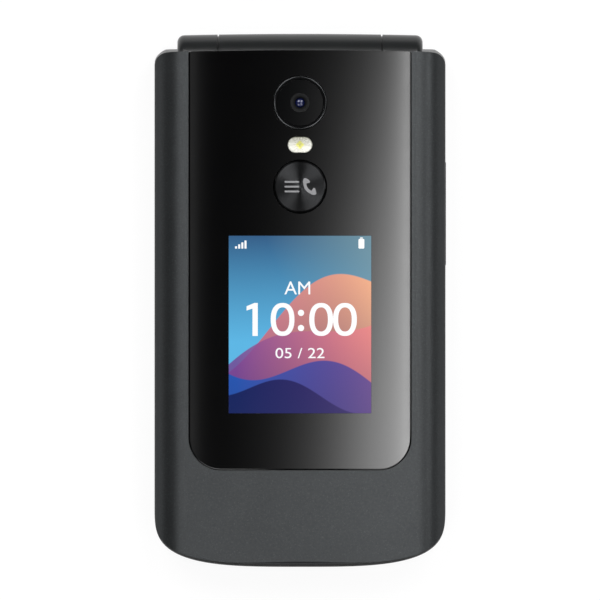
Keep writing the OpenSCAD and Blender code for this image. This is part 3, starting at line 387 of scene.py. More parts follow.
cover_h = 3.1
cover_roll = [(z, back_inset(z)) for z in (0, 0.04, 0.12, 0.26, 0.45, 0.7, 1, 1.4, 1.85, 2.4, 2.98)]
cover_rings = base_rings(cover_roll + [(cover_h, back_inset(cover_h) + 0.12)])
cover_rings += base_rings([(cover_h, 1.42), (1.6, 1.85), (1.1, 2.2), (1, 2.4)], base_top_y - 3.8)
cover = blank("cover", *skin(cover_rings))
speaker_x, speaker_y = 14.0, 31.5
flare = [(-0.2, -0.25), (0, -0.18), (0.12, -0.06), (0.3, 0), (1.2, 0)]
slots = [pad(speaker_x, speaker_y + y, 9, 0.9, 0.44, flare) for y in (-4, -2, 0, 2, 4)]
thumb = turned(
    [(0, -7), (16.4, -7), (17.4, -6.6), (17.9, -5.6), (18, -4), (18, 4), (17.9, 5.6), (17.4, 6.6),
     (16.4, 7), (0, 7)],
    (0, bottom_y + 17, 0.6 - 18), along_x=True, steps=256,
)
carve(cover, thumb, *slots)
seat(cover, "battery_cover_shell", "battery_cover", shell_black, ["battery_cover"])

# ---- Rear housing ----
# The tub behind the keypad half, moulded in the same black, open toward the cover.
# Its web carries the board; the charging and headphone sockets look out through its walls.

split_z = 6.5
web_z = 5.7
barrel_room = (-24.325, 24.325, 4.85)
base_cavity_y = 41.85
jack_y = 34.5
rear_levels = [(3.2, back_inset(3.2) + 0.12), (3.32, back_inset(3.32)), (3.7, back_inset(3.7)),
               (4.2, 0), (6.38, 0), (split_z, 0.12)]
rear_rings = base_rings([(web_z, base_wall), (3.2, base_wall)], base_cavity_y) + base_rings(rear_levels)
rear = blank("rear", *skin(rear_rings))


def usb_opening():
    """Charging socket's mouth through the bottom end, flared outward"""
    rings = []
    for y, grow in ((bottom_y - 1, 0.35), (bottom_y, 0.14), (bottom_y + 0.25, 0), (bottom_y + 3, 0)):
        outline = rounded(0, 5.9, 8.2 + 2 * grow, 3.1 + 2 * grow, 0.7 + grow)
        rings.append([(x, y, z) for x, z in outline])
    return blank("usb", *skin(rings))


def jack_opening():
    """Round mouth of the headphone socket through the left wall"""
    mouth = [(0, -2), (3.1, -2), (2.68, 0), (2.55, 0.2), (2.55, 3), (0, 3)]
    return turned(mouth, (-half_w, jack_y, split_z), along_x=True)


carve(
    rear, rod(*barrel_room), usb_opening(), jack_opening(),
    box(-27.4, -13.6, 31.05, 37.95, 5, 7), box(-4.1, 4.1, -51.3, -45.65, 5, 7),
)
seat(rear, "rear_housing_tub", "base", shell_black, ["base_rear_housing"])

# ---- Front housing ----
# The keypad face with a hole for each key and the two outer knuckles of the hinge.
# One moulding in satin black, its top edge rounded, screwed to the rear housing.

face_z = 9.395
base_h = 10.395
key_gap = 0.2
barrel_end = 24.2
knuckle_x = 16.25
volume_y, volume_z = 17.1, 8.1
front_levels = [(split_z, 0.12), (6.62, 0), (8.4, 0), (10.255, 0), (10.325, 0.02), (10.375, 0.06),
                (base_h, 0.13), (base_h, 0.3)]
front_rings = base_rings([(face_z, base_wall), (split_z, base_wall)], base_cavity_y)
front = blank("front", *skin(front_rings + base_rings(front_levels)))
carve(front, rod(-knuckle_x, knuckle_x, barrel_room[2]))


def barrel_radius(x):
    """The hinge barrel is a little thicker in its middle"""
    return 4.6 - 0.3 * (x / barrel_end) ** 2


def knuckle(x0, x1, round_start, round_end):
    """Crowned length of hinge barrel, with a small or a full rounding at each end"""
    profile = [(0, x0)]
    r = barrel_radius(x0 + round_start)
    for a in range(0, 91, 15):
        s, c = math.sin(math.radians(a)), math.cos(math.radians(a))
        profile.append((r - round_start * (1 - s), x0 + round_start * (1 - c)))
    steps = 10
    first, last = x0 + round_start, x1 - round_end
    profile += [(barrel_radius(first + (last - first) * i / steps), first + (last - first) * i / steps)
                for i in range(1, steps)]
    r = barrel_radius(last)
    for a in range(90, -1, -10):
        s, c = math.sin(math.radians(a)), math.cos(math.radians(a))
        profile.append((r - round_end * (1 - s), x1 - round_end * (1 - c)))
    profile.append((0, x1))
    return turned(profile, (0, hinge_y, hinge_z), along_x=True, steps=160)


carve(front, knuckle(knuckle_x, barrel_end, 0.12, 1.4), knuckle(-barrel_end, -knuckle_x, 1.4, 0.12),
      operation="UNION")

number_x = (-15, 0, 15)
number_y = (-43.1, -33.4, -23.7, -14)
side_key_x = 16.2
send_y, soft_y, clear_y, nav_y = 6.4, 18, -3.6, 12.6
number_size, side_size, clear_size = (13.4, 7.8), (11.4, 8), (13.4, 6.4)
key_places = [(x, y, *number_size) for y in number_y for x in number_x]
key_places += [(side * side_key_x, y, *side_size) for y in (send_y, soft_y) for side in (-1, 1)]
key_places.append((0, clear_y, *clear_size))
hole_levels = [(face_z - 1, 0), (base_h - 0.16, 0), (base_h - 0.04, -0.05), (base_h, -0.16),
               (base_h + 0.5, -0.4)]
key_holes = [pad(x, y, w + 2 * key_gap, l + 2 * key_gap, 1.8, hole_levels) for x, y, w, l in key_places]
ring_hole = [(0, face_z - 1)] + [(9.4 - d, z) for z, d in hole_levels] + [(0, base_h + 0.5)]
mic_hole = [(0, 9), (0.5, 9), (0.5, 10.25), (0.62, 10.4), (0.8, 10.6), (0, 10.6)]


def volume_opening():
    """Slot in the right wall for the volume key"""
    rings = []
    for x, grow in ((half_w + 1, 0.3), (half_w, 0.1), (half_w - 0.15, 0), (half_w - 2.6, 0)):
        outline = rounded(volume_y, volume_z, 21.1 + 2 * grow, 2.6 + 2 * grow, 0.6 + grow)
        rings.append([(x, y, z) for y, z in outline])
    return blank("volume", *skin(rings))


carve(
    front, *key_holes, turned(ring_hole, (0, nav_y, 0), steps=160),
    turned(mic_hole, (14, -49.4, 0), steps=32),
    usb_opening(), jack_opening(), rod(-22.2, 22.2, 2.25), volume_opening(),
)
seat(front, "front_housing_face", "base", shell_black, ["base_front_housing"])

# ---- Battery, board and sockets ----
# What the two housings hold, each as the factory supplies it: a foil-wrapped battery, a green
# lacquered board, tinned steel covers, gilt contacts and black moulded sockets.


def bare_metal(name, colour, roughness, lay=(1, 14, 1), depth=0.002, **sockets):
    """Rolled or drawn metal with fine lines along one direction"""
    finish, tree, shade = new_finish(name, colour, roughness, {"Metallic": 1, **sockets})
    lines = noise(tree, 0.6, 4, lay)
    dull = [c * 0.86 for c in colour]
    wire(tree, shade, {"Base Color": blend_colours(tree, noise(tree, 3, 3), dull, colour),
                       "Roughness": spread(tree, lines, roughness * 0.75, roughness * 1.3)})
    relief(tree, shade, lines, depth, soft_edge(tree, 0.06))
    return finish


def lacquered_board(name):
    """Circuit board: copper runs showing faintly through green lacquer"""
    finish, tree, shade = new_finish(name, (0.012, 0.09, 0.035), 0.3, {"Coat Weight": 0.4})
    runs = add_node(tree, "TexBrick", {"Scale": 0.45, "Mortar Size": 0.05, "Vector": place_of(tree)})
    green = blend_colours(tree, runs.outputs["Fac"], (0.01, 0.075, 0.03), (0.035, 0.16, 0.06))
    wire(tree, shade, {"Base Color": green, "Roughness": spread(tree, noise(tree, 1.2), 0.24, 0.38)})
    relief(tree, shade, runs.outputs["Fac"], 0.02)
    return finish


def reckon(tree, operation, first, second=None):
    """One sum in a material, of plain values or of what other nodes give"""
    sockets = {0: first} if second is None else {0: first, 1: second}
    return add_node(tree, "Math", sockets, operation=operation).outputs[0]


def woven_wire(name):
    """Fine square mesh: wires that cross over holes, the holes' darkness painted as near-black shade"""
    finish, tree, shade = new_finish(name, (0.16, 0.165, 0.17), 0.4, {"Metallic": 0.9})
    waves = [add_node(tree, "TexWave", {"Scale": 1.1, "Vector": place_of(tree)}, bands_direction=way)
             for way in ("X", "Y")]
    over = reckon(tree, "MAXIMUM", *[wave.outputs["Fac"] for wave in waves])
    shown = spread(tree, over, 0, 1, 0.45, 0.8)
    # Painted shade: between the wires the colour is near black, standing in for the dark behind the holes
    tree.links.new(blend_colours(tree, shown, (0.004, 0.004, 0.004), (0.2, 0.2, 0.205)),
                   shade.inputs["Base Color"])
    relief(tree, shade, over, 0.06)
    return finish


def dress(finish, *nodes):
    """Gives a carried-over part its finish"""
    for node in nodes:
        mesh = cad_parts[node].data
        mesh.materials.clear()
        mesh.materials.append(finish)


steel = bare_metal("bright_steel", (0.5, 0.5, 0.51), 0.28)
socket_black = moulded("socket_black", (0.014, 0.014, 0.015), 0.45, 0.08, 0.006)
gilt = bare_metal("gilt_contact", (0.72, 0.49, 0.17), 0.25)
board_green = lacquered_board("board_lacquer")
wrap = moulded("battery_wrap", (0.03, 0.034, 0.04), 0.32, 1.6, 0.03, 0.2, **{"Metallic": 0.35})
dress(steel, "shield_can", "vibration_motor", "usb_port", "sim_holder", "base_screws", "microphone",
      "dome_sheet")
dress(socket_black, "headphone_jack", "loudspeaker")
dress(gilt, "battery_contacts", "antenna")
dress(board_green, "main_board")
dress(wrap, "battery")

# ---- Keypad ----
# Nineteen hard keycaps on one grey silicone mat. Number and side keys are matt charcoal with
# pillowed tops and white print; the steering ring is silver paint round a charcoal middle key.

silicone = moulded("silicone_mat", (0.3, 0.32, 0.34), 0.5, 0.2, 0.01,
                   **{"Subsurface Weight": 0.2, "Subsurface Scale": 0.0006})
dress(silicone, "keypad_membrane")
key_charcoal = moulded("charcoal_key", (0.03, 0.032, 0.035), 0.42, 0.09, 0.005)
key_silver = moulded("silver_key", (0.42, 0.43, 0.45), 0.34, 0.07, 0.003, **{"Metallic": 0.7})
print_white = moulded("white_print", (0.78, 0.79, 0.8), 0.5, 0.15, 0.002, 0.02)
print_green = moulded("green_print", (0.05, 0.5, 0.12), 0.5, 0.15, 0.002, 0.02)
print_red = moulded("red_print", (0.6, 0.03, 0.03), 0.5, 0.15, 0.002, 0.02)
key_top = 10.495
key_foot_z, flange_top_z = 9.145, 9.345
flange = ((key_foot_z, -0.35), (flange_top_z, -0.35), (flange_top_z, 0), (9.8, 0))
print_t = 0.012


def dome_cap(outline, centre, ring_heights, top):
    """Closed form over scaled copies of an outline; top(x, y) is the height of its face"""
    x0, y0 = centre
    rings = list(ring_heights)
    for share in (0.86, 0.7, 0.52, 0.34, 0.17):
        ring = [(x0 + (x - x0) * share, y0 + (y - y0) * share) for x, y in outline]
        rings.append([(x, y, top(x, y)) for x, y in ring])
    points, faces = skin(rings)
    faces.pop()
    n = len(outline)
    last = (len(rings) - 1) * n
    points.append((x0, y0, top(x0, y0)))
    faces += [(last + i, last + (i + 1) % n, len(points) - 1) for i in range(n)]
    return blank("dome", points, faces)


def keycap(x, y, w, l):
    """Pillowed keycap on its flange, and the height of its face"""
    def pillow(px, py):
        return key_top - (px - x) ** 2 / 120

    rings = [[(px, py, z) for px, py in rounded(x, y, w - 2 * d, l - 2 * d, 1.6 - d)] for z, d in flange]
    for a in (0, 15, 30, 45, 60, 75, 90):
        d = 0.35 * (1 - math.cos(math.radians(a)))
        fall = 0.35 * (1 - math.sin(math.radians(a)))
        outline = rounded(x, y, w - 2 * d, l - 2 * d, 1.6 - d)
        rings.append([(px, py, pillow(px, py) - fall) for px, py in outline])
    return dome_cap(outline, (x, y), rings, pillow), pillow


def lettering(words, size, x, y, face, upside=1, bold=0.0, wide=1.0):
    """Printed words as thin closed shapes that lie on a face; face(x, y) is its height"""
    curve = bpy.data.curves.new("words", "FONT")
    curve.body = words
    curve.size = size
    curve.align_x = "CENTER"
    curve.align_y = "CENTER"
    curve.extrude = print_t
    curve.offset = bold
    curve.resolution_u = 6
    text = stand("words", curve)
    seen = text.evaluated_get(bpy.context.evaluated_depsgraph_get())
    mesh = bpy.data.meshes.new_from_object(seen)
    for v in mesh.vertices:
        px, py = x + wide * v.co.x, y + upside * v.co.y
        v.co = (px, py, face(px, py) + upside * v.co.z)
    bpy.data.objects.remove(text)
    bpy.data.curves.remove(curve)
    return stand("words", mesh)


def plate(outline, face, thick=print_t):
    """Printed mark as a thin closed shape that lies on a face"""
    rings = [[(x, y, face(x, y) + z) for x, y in outline] for z in (-thick, thick)]
    return blank("mark", *skin(rings))


def join(pieces):
    """One mesh out of several that don't touch"""
    work = bmesh.new()
    for piece in pieces:
        work.from_mesh(piece.data)
        drop_object(piece)
    bmesh.ops.remove_doubles(work, verts=work.verts, dist=1e-6)
    mesh = bpy.data.meshes.new("joined")
    work.to_mesh(mesh)
    work.free()
    return stand("joined", mesh)


def handset(x, y, size, turn):
    """Outline of a plain telephone receiver: a bent grip with a lump at each end"""
    ear_out, ear_in = [], []
    for a in range(-68, 69, 3):
        lump = min(1, max(0, abs(a) - 32) / 13)
        lump = lump * lump * (3 - 2 * lump)
        end = max(0, abs(a) - 58) / 10
        ear_out.append((1 + 0.05 * lump - 0.13 * end * end, a))
        ear_in.append((0.72 - 0.3 * lump + 0.17 * end * end, a))
    outline = []
    for r, a in ear_out + ear_in[::-1]:
        t, t0 = math.radians(a + turn), math.radians(turn)
        outline.append((x + size * (r * math.cos(t) - 0.6 * math.cos(t0)),
                        y + size * (r * math.sin(t) - 0.6 * math.sin(t0))))
    return outline


letters = {"2": "ABC", "3": "DEF", "4": "GHI", "5": "JKL", "6": "MNO", "7": "PQRS", "8": "TUV",
           "9": "WXYZ", "0": "+"}
number_keys = {
    "key_star": ("*", 0, 0), "key_0": ("0", 1, 0), "key_hash": ("#", 2, 0),
    "key_7": ("7", 0, 1), "key_8": ("8", 1, 1), "key_9": ("9", 2, 1),
    "key_4": ("4", 0, 2), "key_5": ("5", 1, 2), "key_6": ("6", 2, 2),
    "key_1": ("1", 0, 3), "key_2": ("2", 1, 3), "key_3": ("3", 2, 3),
}
for node, (digit, column, row) in number_keys.items():
    x, y = number_x[column], number_y[row]
    cap, pillow = keycap(x, y, *number_size)
    seat(cap, node + "_cap", node, key_charcoal, [node])
    shift = -2.2 if digit in letters else 0
    marks = [lettering(digit, 4.6, x + shift, y - (0.7 if digit == "*" else 0), pillow, bold=0.04)]
    if digit in letters:
        marks.append(lettering(letters[digit], 2.1, x + 2.6, y - 0.2, pillow))
    seat(join(marks), node + "_print", node, print_white)

side_marks = {
    "soft_left": (-1, soft_y, print_white), "soft_right": (1, soft_y, print_white),
    "send_key": (-1, send_y, print_green), "end_key": (1, send_y, print_red),
}
for node, (side, y, ink) in side_marks.items():
    x = side * side_key_x
    cap, pillow = keycap(x, y, *side_size)
    seat(cap, node + "_cap", node, key_charcoal, [node])
    if node.startswith("soft"):
        mark = plate(rounded(x, y, 3.6, 0.7, 0.34), pillow, 0.045)
    else:
        mark = plate(handset(x, y, 2.7, 150 if side < 0 else 90), pillow, 0.045)
    seat(mark, node + "_print", node, ink)
cap, pillow = keycap(0, clear_y, *clear_size)
seat(cap, "clear_key_cap", "clear_key", key_charcoal, ["clear_key"])
seat(lettering("C", 3.6, 0, clear_y, pillow), "clear_key_print", "clear_key", print_white)

ring_profile = [
    (4.5, key_foot_z), (9.55, key_foot_z), (9.55, flange_top_z), (9.2, flange_top_z), (9.2, 10.2),
    (9.17, 10.32), (9.08, 10.4), (8.9, 10.45), (8.3, 10.485), (7.4, key_top), (6.4, 10.47), (5.6, 10.41),
    (5.0, 10.32), (4.75, 10.25), (4.58, 10.15), (4.5, 10.0),
]
ring = turned(ring_profile, (0, nav_y, 0), steps=160, closed=True)
seat(ring, "steering_ring", "nav_ring", key_silver, ["nav_ring"])


def ring_face(x, y):
    """Height of the steering ring's face"""
    r = math.hypot(x, y - nav_y)
    return key_top - 0.014 * (r - 7.4) ** 2


arrows = []
for turn in (0, 90, 180, 270):
    c, s = math.cos(math.radians(turn)), math.sin(math.radians(turn))
    tip = ((7.6, 0), (6.75, 0.8), (6.75, -0.8))
    arrows.append(plate([(u * c - v * s, nav_y + u * s + v * c) for u, v in tip], ring_face))
seat(join(arrows), "steering_ring_print", "nav_ring", key_charcoal)
ok_profile = [(0, key_foot_z), (4.2, key_foot_z), (4.2, 10.08), (4.14, 10.2), (3.98, 10.28), (3.7, 10.325),
              (3.0, 10.355), (2.0, 10.38), (1.0, 10.392), (0, base_h)]
ok = turned(ok_profile, (0, nav_y, 0), steps=128)
seat(ok, "select_key_cap", "ok_key", key_charcoal, ["ok_key"])


def ok_face(x, y):
    """Height of the select key's face"""
    return base_h - 0.0042 * (x * x + (y - nav_y) ** 2)


seat(lettering("OK", 3, 0, nav_y, ok_face), "select_key_print", "ok_key", print_white)

# ---- Volume key ----
# A slim silver-painted rocker in the right wall, standing hardly proud of it.
# It tips about its middle onto two switches on the board.

rocker_rings = []
for x, lip, inset in ((26.5, 1, 0), (27.1, 1, 0), (27.1, 0, 0), (28.55, 0, 0), (28.72, 0, 0.04),
                      (28.79, 0, 0.1), (28.82, 0, 0.22)):
    outline = rounded(volume_y, volume_z - 0.125 * lip, 20.5 + lip - 2 * inset,
                      2.2 + 0.25 * lip - 2 * inset, 0.5)
    rocker_rings.append([(x, y, z) for y, z in outline])
rocker = blank("rocker", *skin(rocker_rings))
seat(rocker, "volume_rocker", "volume_key",
     moulded("rocker_paint", (0.045, 0.047, 0.05), 0.35, 0.1, 0.004, **{"Metallic": 0.6}), ["volume_key"])

# ---- Hinge ----
# A spring cartridge drives a steel shaft on the right; a hollow tube on the left
# lets the amber display cable through from the keypad half.

dress(steel, "hinge_cartridge", "hinge_shaft", "hinge_tube")
dress(moulded("amber_film", (0.5, 0.17, 0.02), 0.35, 0.5, 0.01, 0.05), "display_flex")

# ---- Lid inner housing ----
# The black plate that faces the keypad, with the hinge's middle knuckle moulded on.
# It has the display's window, a slot for the earpiece and four pockets for rubber bumpers.

lid_z = 10.795
lid_split = 12.095
lid_top = 18.795
lid_top_y = 49.331
lid_bulge = 11.15
inner_y = -1.5


def lid_rings(levels):
    """Outlines of the lid at (height, inset) pairs"""
    return [
        lean([(x, y, z) for x, y in plan(d, lid_bulge, lid_top_y)], lid_top_y, lambda h: lid_top - h)
        for z, d in levels
    ]


fold_edge = [(lid_z, 0.25), (10.83, 0.14), (10.91, 0.045), (11.095, 0)]
inner = blank("inner", *skin(lid_rings(fold_edge + [(12.0, 0), (lid_split, 0.07)])))
carve(inner, rod(*barrel_room))
carve(inner, box(-16, 16, 42.65, 47, lid_z, lid_split), knuckle(-16, 16, 0.12, 0.12),
      rod(-16.235, 16.235, 4.15), operation="UNION")
bumper_places = [(side * x, y) for side in (-1, 1) for x, y in ((22.5, -42.5), (24.3, 38.55))]
bumper_seat = [(0, 10), (2.4, 10), (1.95, 10.88), (1.95, 11.345), (0, 11.345)]
carve(
    inner,
    pad(0, inner_y, 47.18, 61.58, 1.2, [(10, -0.9), (lid_z, -0.1), (10.9, 0), (11.595, 0)]),
    pad(0, inner_y, 44.4, 58.8, 0.3, [(11, 0), (13, 0)]),
    pad(0, -44.5, 9, 1.6, 0.79, [(10, -0.9), (lid_z, -0.12), (10.92, 0), (13, 0)]),
    pad(0, -44.5, 10.4, 3, 1.1, [(11.095, 0), (11.5, 0)]),
    rod(1.1, 20, 3), rod(-20, 3.1, 2.3),
    box(-12.2, -6.8, 39.5, 48, 11.195, 11.895), box(-12.2, -6.8, 39.5, 41.9, 11.195, 13.3),
    *[turned(bumper_seat, (x, y, 0), steps=64) for x, y in bumper_places],
)
seat(inner, "lid_inner_plate", "lid", shell_black, ["lid_inner_housing"])

rubber = moulded("bumper_rubber", (0.02, 0.02, 0.02), 0.7, 0.1, 0.01)
for number, (x, y) in enumerate(bumper_places):
    form = [(0, 10.495), (1.2, 10.5), (1.6, 10.54), (1.82, 10.66), (1.9, 10.85), (1.9, 11.295), (0, 11.295)]
    foot = turned(form, (x, y, 0), steps=64)
    seat(foot, f"lid_bumper_{number + 1}", "lid", rubber, ["lid_bumpers"])
dress(steel, "lid_screws", "lid_magnet")
dress(socket_black, "earpiece")
dress(board_green, "lid_board")
dress(woven_wire("earpiece_wire"), "earpiece_mesh")

# ---- Inner screen ----
# A flat clear window glued into the plate, printed black round its edge, with the
# lit picture of the large display behind it.


def screen_picture(name, cx, cy, w, h, gloss, upside=1, level=1.0):
    """A lit picture: soft rolling waves in blue, coral and navy under the window's gloss"""
    finish, tree, shade = new_finish(name, (0.002, 0.002, 0.002), 0.08, {"Specular IOR Level": gloss})
    axes = add_node(tree, "SeparateXYZ", {"Vector": place_of(tree)})
    u = reckon(tree, "DIVIDE", reckon(tree, "SUBTRACT", axes.outputs["X"], cx), w)
    v = reckon(tree, "MULTIPLY", reckon(tree, "SUBTRACT", axes.outputs["Y"], cy), upside / h)
    sky = blend_colours(tree, spread(tree, v, 0, 1, -0.1, 0.5), (0.11, 0.47, 0.78), (0.035, 0.11, 0.24))
    haze = spread(tree, reckon(tree, "ADD", u, reckon(tree, "MULTIPLY", v, 0.5)), 0, 0.85, 0.0, 0.72)
    picture = blend_colours(tree, haze, sky, (0.16, 0.3, 0.36))
    waves = (
        (0.05, 0.34, 4.2, 0.9, 0.16, (0.42, 0.1, 0.25), (0.88, 0.42, 0.24), 1.0),
        (-0.1, 0.42, 3.6, 2.6, 0.12, (0.17, 0.06, 0.3), (0.82, 0.22, 0.22), 0.9),
        (-0.27, -0.16, 5.0, 0.4, 0.1, (0.02, 0.09, 0.42), (0.12, 0.05, 0.25), 1.0),
        (-0.39, -0.1, 6.3, 2.2, 0.07, (0.008, 0.018, 0.11), (0.04, 0.02, 0.14), 1.0),
    )
    for level_v, slope, pitch, start, swing, near, far, strength in waves:
        crest = reckon(tree, "SINE", reckon(tree, "ADD", reckon(tree, "MULTIPLY", u, pitch), start))
        edge = reckon(tree, "ADD", reckon(tree, "MULTIPLY", crest, swing), reckon(tree, "MULTIPLY", u, slope))
        gap = reckon(tree, "SUBTRACT", reckon(tree, "ADD", edge, level_v), v)
        body = blend_colours(tree, spread(tree, u, 0, 1, -0.45, 0.5), near, far)
        shaded = blend_colours(tree, spread(tree, gap, 0, 0.55, 0.0, 0.5), body, (0.02, 0.03, 0.12))
        inside = reckon(tree, "MULTIPLY", spread(tree, gap, 0, 1, -0.002, 0.004), strength)
        picture = blend_colours(tree, inside, picture, shaded)
    tree.links.new(picture, shade.inputs["Emission Color"])
    shade.inputs["Emission Strength"].default_value = level
    tree.links.new(spread(tree, noise(tree, 6, 3), 0.05, 0.09), shade.inputs["Roughness"])
    return finish


window_black = moulded("window_black_print", (0.0035, 0.0035, 0.004), 0.12, 2.5, 0.0002, 0.05)
window_levels = [(10.845, 0.16), (10.862, 0.07), (10.93, 0.01), (11.0, 0), (11.545, 0)]
window = pad(0, inner_y, 47, 61.4, 1.11, window_levels)
carve(window, pad(0, inner_y, 43.2, 57.6, 0.25, [(10, 0), (12, 0)]))
seat(window, "inner_window_frame", "lid", window_black, ["inner_window"])
inner_screen = pad(0, inner_y, 43.16, 57.56, 0.24, [(10.85, 0), (12.1, 0)])
seat(inner_screen, "inner_screen", "lid",
     screen_picture("inner_screen_picture", 0, inner_y, 43.2, 57.6, 0.2, -1, 0.7))
dress(moulded("display_back", (0.05, 0.052, 0.06), 0.3, 0.6, 0.004), "inner_display", "outer_display")


def lit(name, colour, strength):
    """Bright marks of a lit screen"""
    finish, tree, shade = new_finish(name, (0.02, 0.02, 0.02), 0.3, {"Emission Strength": strength})
    shimmer = blend_colours(tree, noise(tree, 0.4), [c * 0.97 for c in colour], colour)
    tree.links.new(shimmer, shade.inputs["Emission Color"])
    return finish


lit_white = lit("lit_marks", (0.94, 0.95, 0.96), 1.0)


def clock_figures(cx, cy, tall, face, side=1):
    """The clock's 10:00 in plain round figures"""
    marks = []
    half, stroke = tall * 0.36, tall * 0.155
    for place in (-0.6, 0.94, 1.82):
        middle = cx + place * tall * (0.88 if place < 0 else 0.82) - (0.13 * tall if place > 0 else 0)
        rings = []
        for z, thin in ((-print_t, 0), (print_t, 0), (print_t, 1), (-print_t, 1), (-print_t, 0)):
            w, l = half - thin * stroke, tall / 2 - thin * stroke * 0.86
            ring = []
            for k in range(56):
                t = -2 * math.pi * k / 56
                px = middle + w * math.copysign(abs(math.cos(t)) ** (2 / 2.3), math.cos(t))
                py = cy + l * math.copysign(abs(math.sin(t)) ** (2 / 2.3), math.sin(t))
                ring.append((px, py, face(px, py) + z))
            rings.append(ring)
        points = [p for ring in rings[:4] for p in ring]
        faces = [(k * 56 + i, k * 56 + (i + 1) % 56, (k + 1) % 4 * 56 + (i + 1) % 56, (k + 1) % 4 * 56 + i)
                 for k in range(4) for i in range(56)]
        marks.append(blank("nought", points, faces))
    one = [(0.08, -0.5), (0.08, 0.5), (-0.02, 0.5), (-0.26, 0.4), (-0.26, 0.27), (-0.08, 0.33), (-0.08, -0.5)]
    marks.append(plate([(cx + (px - 1.36) * tall, cy + side * py * tall) for px, py in one], face))
    for py in (-0.26, 0.2):
        marks.append(plate(arc(cx + 0.03 * tall, cy + side * py * tall, tall * 0.095, 360, 15, 23), face))
    return marks


def status_marks(cx, top, size, face, side=1):
    """Signal bars at one end of the status line, a battery at the other"""
    marks = []
    reach = 12.6 * size
    for k in range(4):
        x = cx - reach + k * 0.62 * size
        tall = (0.45 + 0.38 * k) * size
        marks.append(plate(rounded(x, top + side * tall / 2, 0.4 * size, tall, 0.05, 2), face))
    x = cx + reach - 0.5 * size
    marks.append(plate(rounded(x, top + side * 0.95 * size, 1.15 * size, 1.9 * size, 0.2, 3), face))
    marks.append(plate(rounded(x, top + side * 2.08 * size, 0.55 * size, 0.22 * size, 0.05, 2), face))
    return marks


def inner_face(x, y):
    """Height of the inner screen's face"""
    return 10.848


clock = [lettering("05 / 22", 4, 0, -1, inner_face, -1, wide=1.15)]
clock += clock_figures(0, -10, 9, inner_face, -1) + status_marks(0, -25.6, 1.5, inner_face, -1)
seat(join(clock), "inner_screen_marks", "lid", lit_white)

# ---- Lid front cover ----
# The lid's outer moulding, gently crowned and rolled down along its sides, in dark grey
# metallic paint with a fine sparkle. A pocket open to the hinge takes the glossy panel.

crown_r = 180
side_roll_r = 6
roll_x = half_w - side_roll_r
crown_z = lid_top - crown_r
roll_z = 11.308
end_roll = 0.7


def section(x, drop=0):
    """Height of the lid's skin at x, or of a surface that lies drop below it"""
    x = abs(x)
    crown = crown_z + math.sqrt((crown_r - drop) ** 2 - x * x)
    side = x - roll_x
    if side <= (side_roll_r - drop) * math.sin(math.radians(7.496)):
        return crown
    return roll_z + math.sqrt(max((side_roll_r - drop) ** 2 - side * side, 0))


def skin_height(x, y, inset):
    """The crown or the side roll, or the bottom end's smaller roll where that is lower"""
    crown = section(x)
    if y > 0:
        return crown
    turned_in = min(inset / end_roll, 0.5)
    end = lid_top + 0.03 - end_roll + end_roll * math.sqrt(1 - (1 - turned_in) ** 2)
    end += 0.577 * max(inset - end_roll / 2, 0)
    blend_w = 0.15
    overlap = max(blend_w - abs(crown - end), 0) / blend_w
    return min(crown, end) - overlap * overlap * blend_w / 4


roll_insets = [6 * (1 - math.cos(math.radians(a)))
               for a in (0, 2, 4, 6, 8, 10, 12, 14, 16, 19, 22, 26, 30, 35, 40, 46, 52, 58, 64, 70, 76, 82, 86)]
form_rings = [[(x, y, z) for x, y in plan(d, lid_bulge, lid_top_y)] for z, d in ((lid_z, 0), (11.1, 0))]
form_rings += [[(x, y, max(skin_height(x, y, d), 11.12)) for x, y in plan(d, lid_bulge, lid_top_y - 0.02 * k)]
               for k, d in enumerate(roll_insets)]
form_rings.append([(x, y, section(x)) for x, y in plan(5.9, lid_bulge, lid_top_y - 0.5)])
points, faces = skin(form_rings, curved_roof=True)
points = [(x, y, z - 0.0012 * max(0, -36 - y) ** 2 if z > 12.2 else z) for x, y, z in points]
points = lean(points, lid_top_y, lambda h: lid_top - h)
lid_shell = blank("lid_shell", points, faces)


def panel_plan(inset, top_y, top_r=0.3):
    """Outline of the glossy panel seen from above"""
    a, r, low = 21.9 - inset, 6.3 - inset, -33.4 + inset
    bottom = arc(a - r, low + r, r, 0, -90, 40) + arc(r - a, low + r, r, -90, -180, 40)
    return close_outline(bottom, a, top_r, top_y)


def hollow(z):
    """How far the inside of the lid's wall stands in at a height"""
    return half_w - roll_x - math.sqrt(max(4.8 ** 2 - (z - roll_z) ** 2, 0))


pocket_rings = [[(x, y, section(x, 1.05)) for x, y in panel_plan(-0.09, 60)],
                [(x, y, 25) for x, y in panel_plan(-0.09, 60)]]
pocket = blank("pocket", *skin(pocket_rings, curved_floor=True))
hollow_rings = [[(x, y, z) for x, y in plan(hollow(z), lid_bulge, 42.15)] for z in (12.0, 13.5, 14.6, 15.595)]
camera_y, flash_y, call_y, screen_y = 38.95, 30.65, 22.4, -4.76
round_hole_r = 5.35
flash_hole = (5.03, 3.33, 1.66)


def round_hole(y, r, low, high=25, steps=96):
    """Cutting tool for a round hole on the lid's middle line"""
    return turned([(0, low), (r, low), (r, high), (0, high)], (0, y, 0), steps=steps)


carve(
    lid_shell, box(-60, 60, -90, 90, 5, 12.145), rod(*barrel_room),
    blank("hollow", *skin(hollow_rings)), pocket,
    round_hole(camera_y, round_hole_r, 17.345), round_hole(camera_y, 3.66, 15, 18),
    round_hole(call_y, round_hole_r, 15), pad(0, flash_y, *flash_hole, [(17.245, 0), (25, 0)]),
    pad(0, flash_y, 3.65, 2.85, 0.4, [(15, 0), (18, 0)]),
    pad(0, screen_y, 28.9, 35.8, 0.6, [(15, 0), (25, 0)]),
)


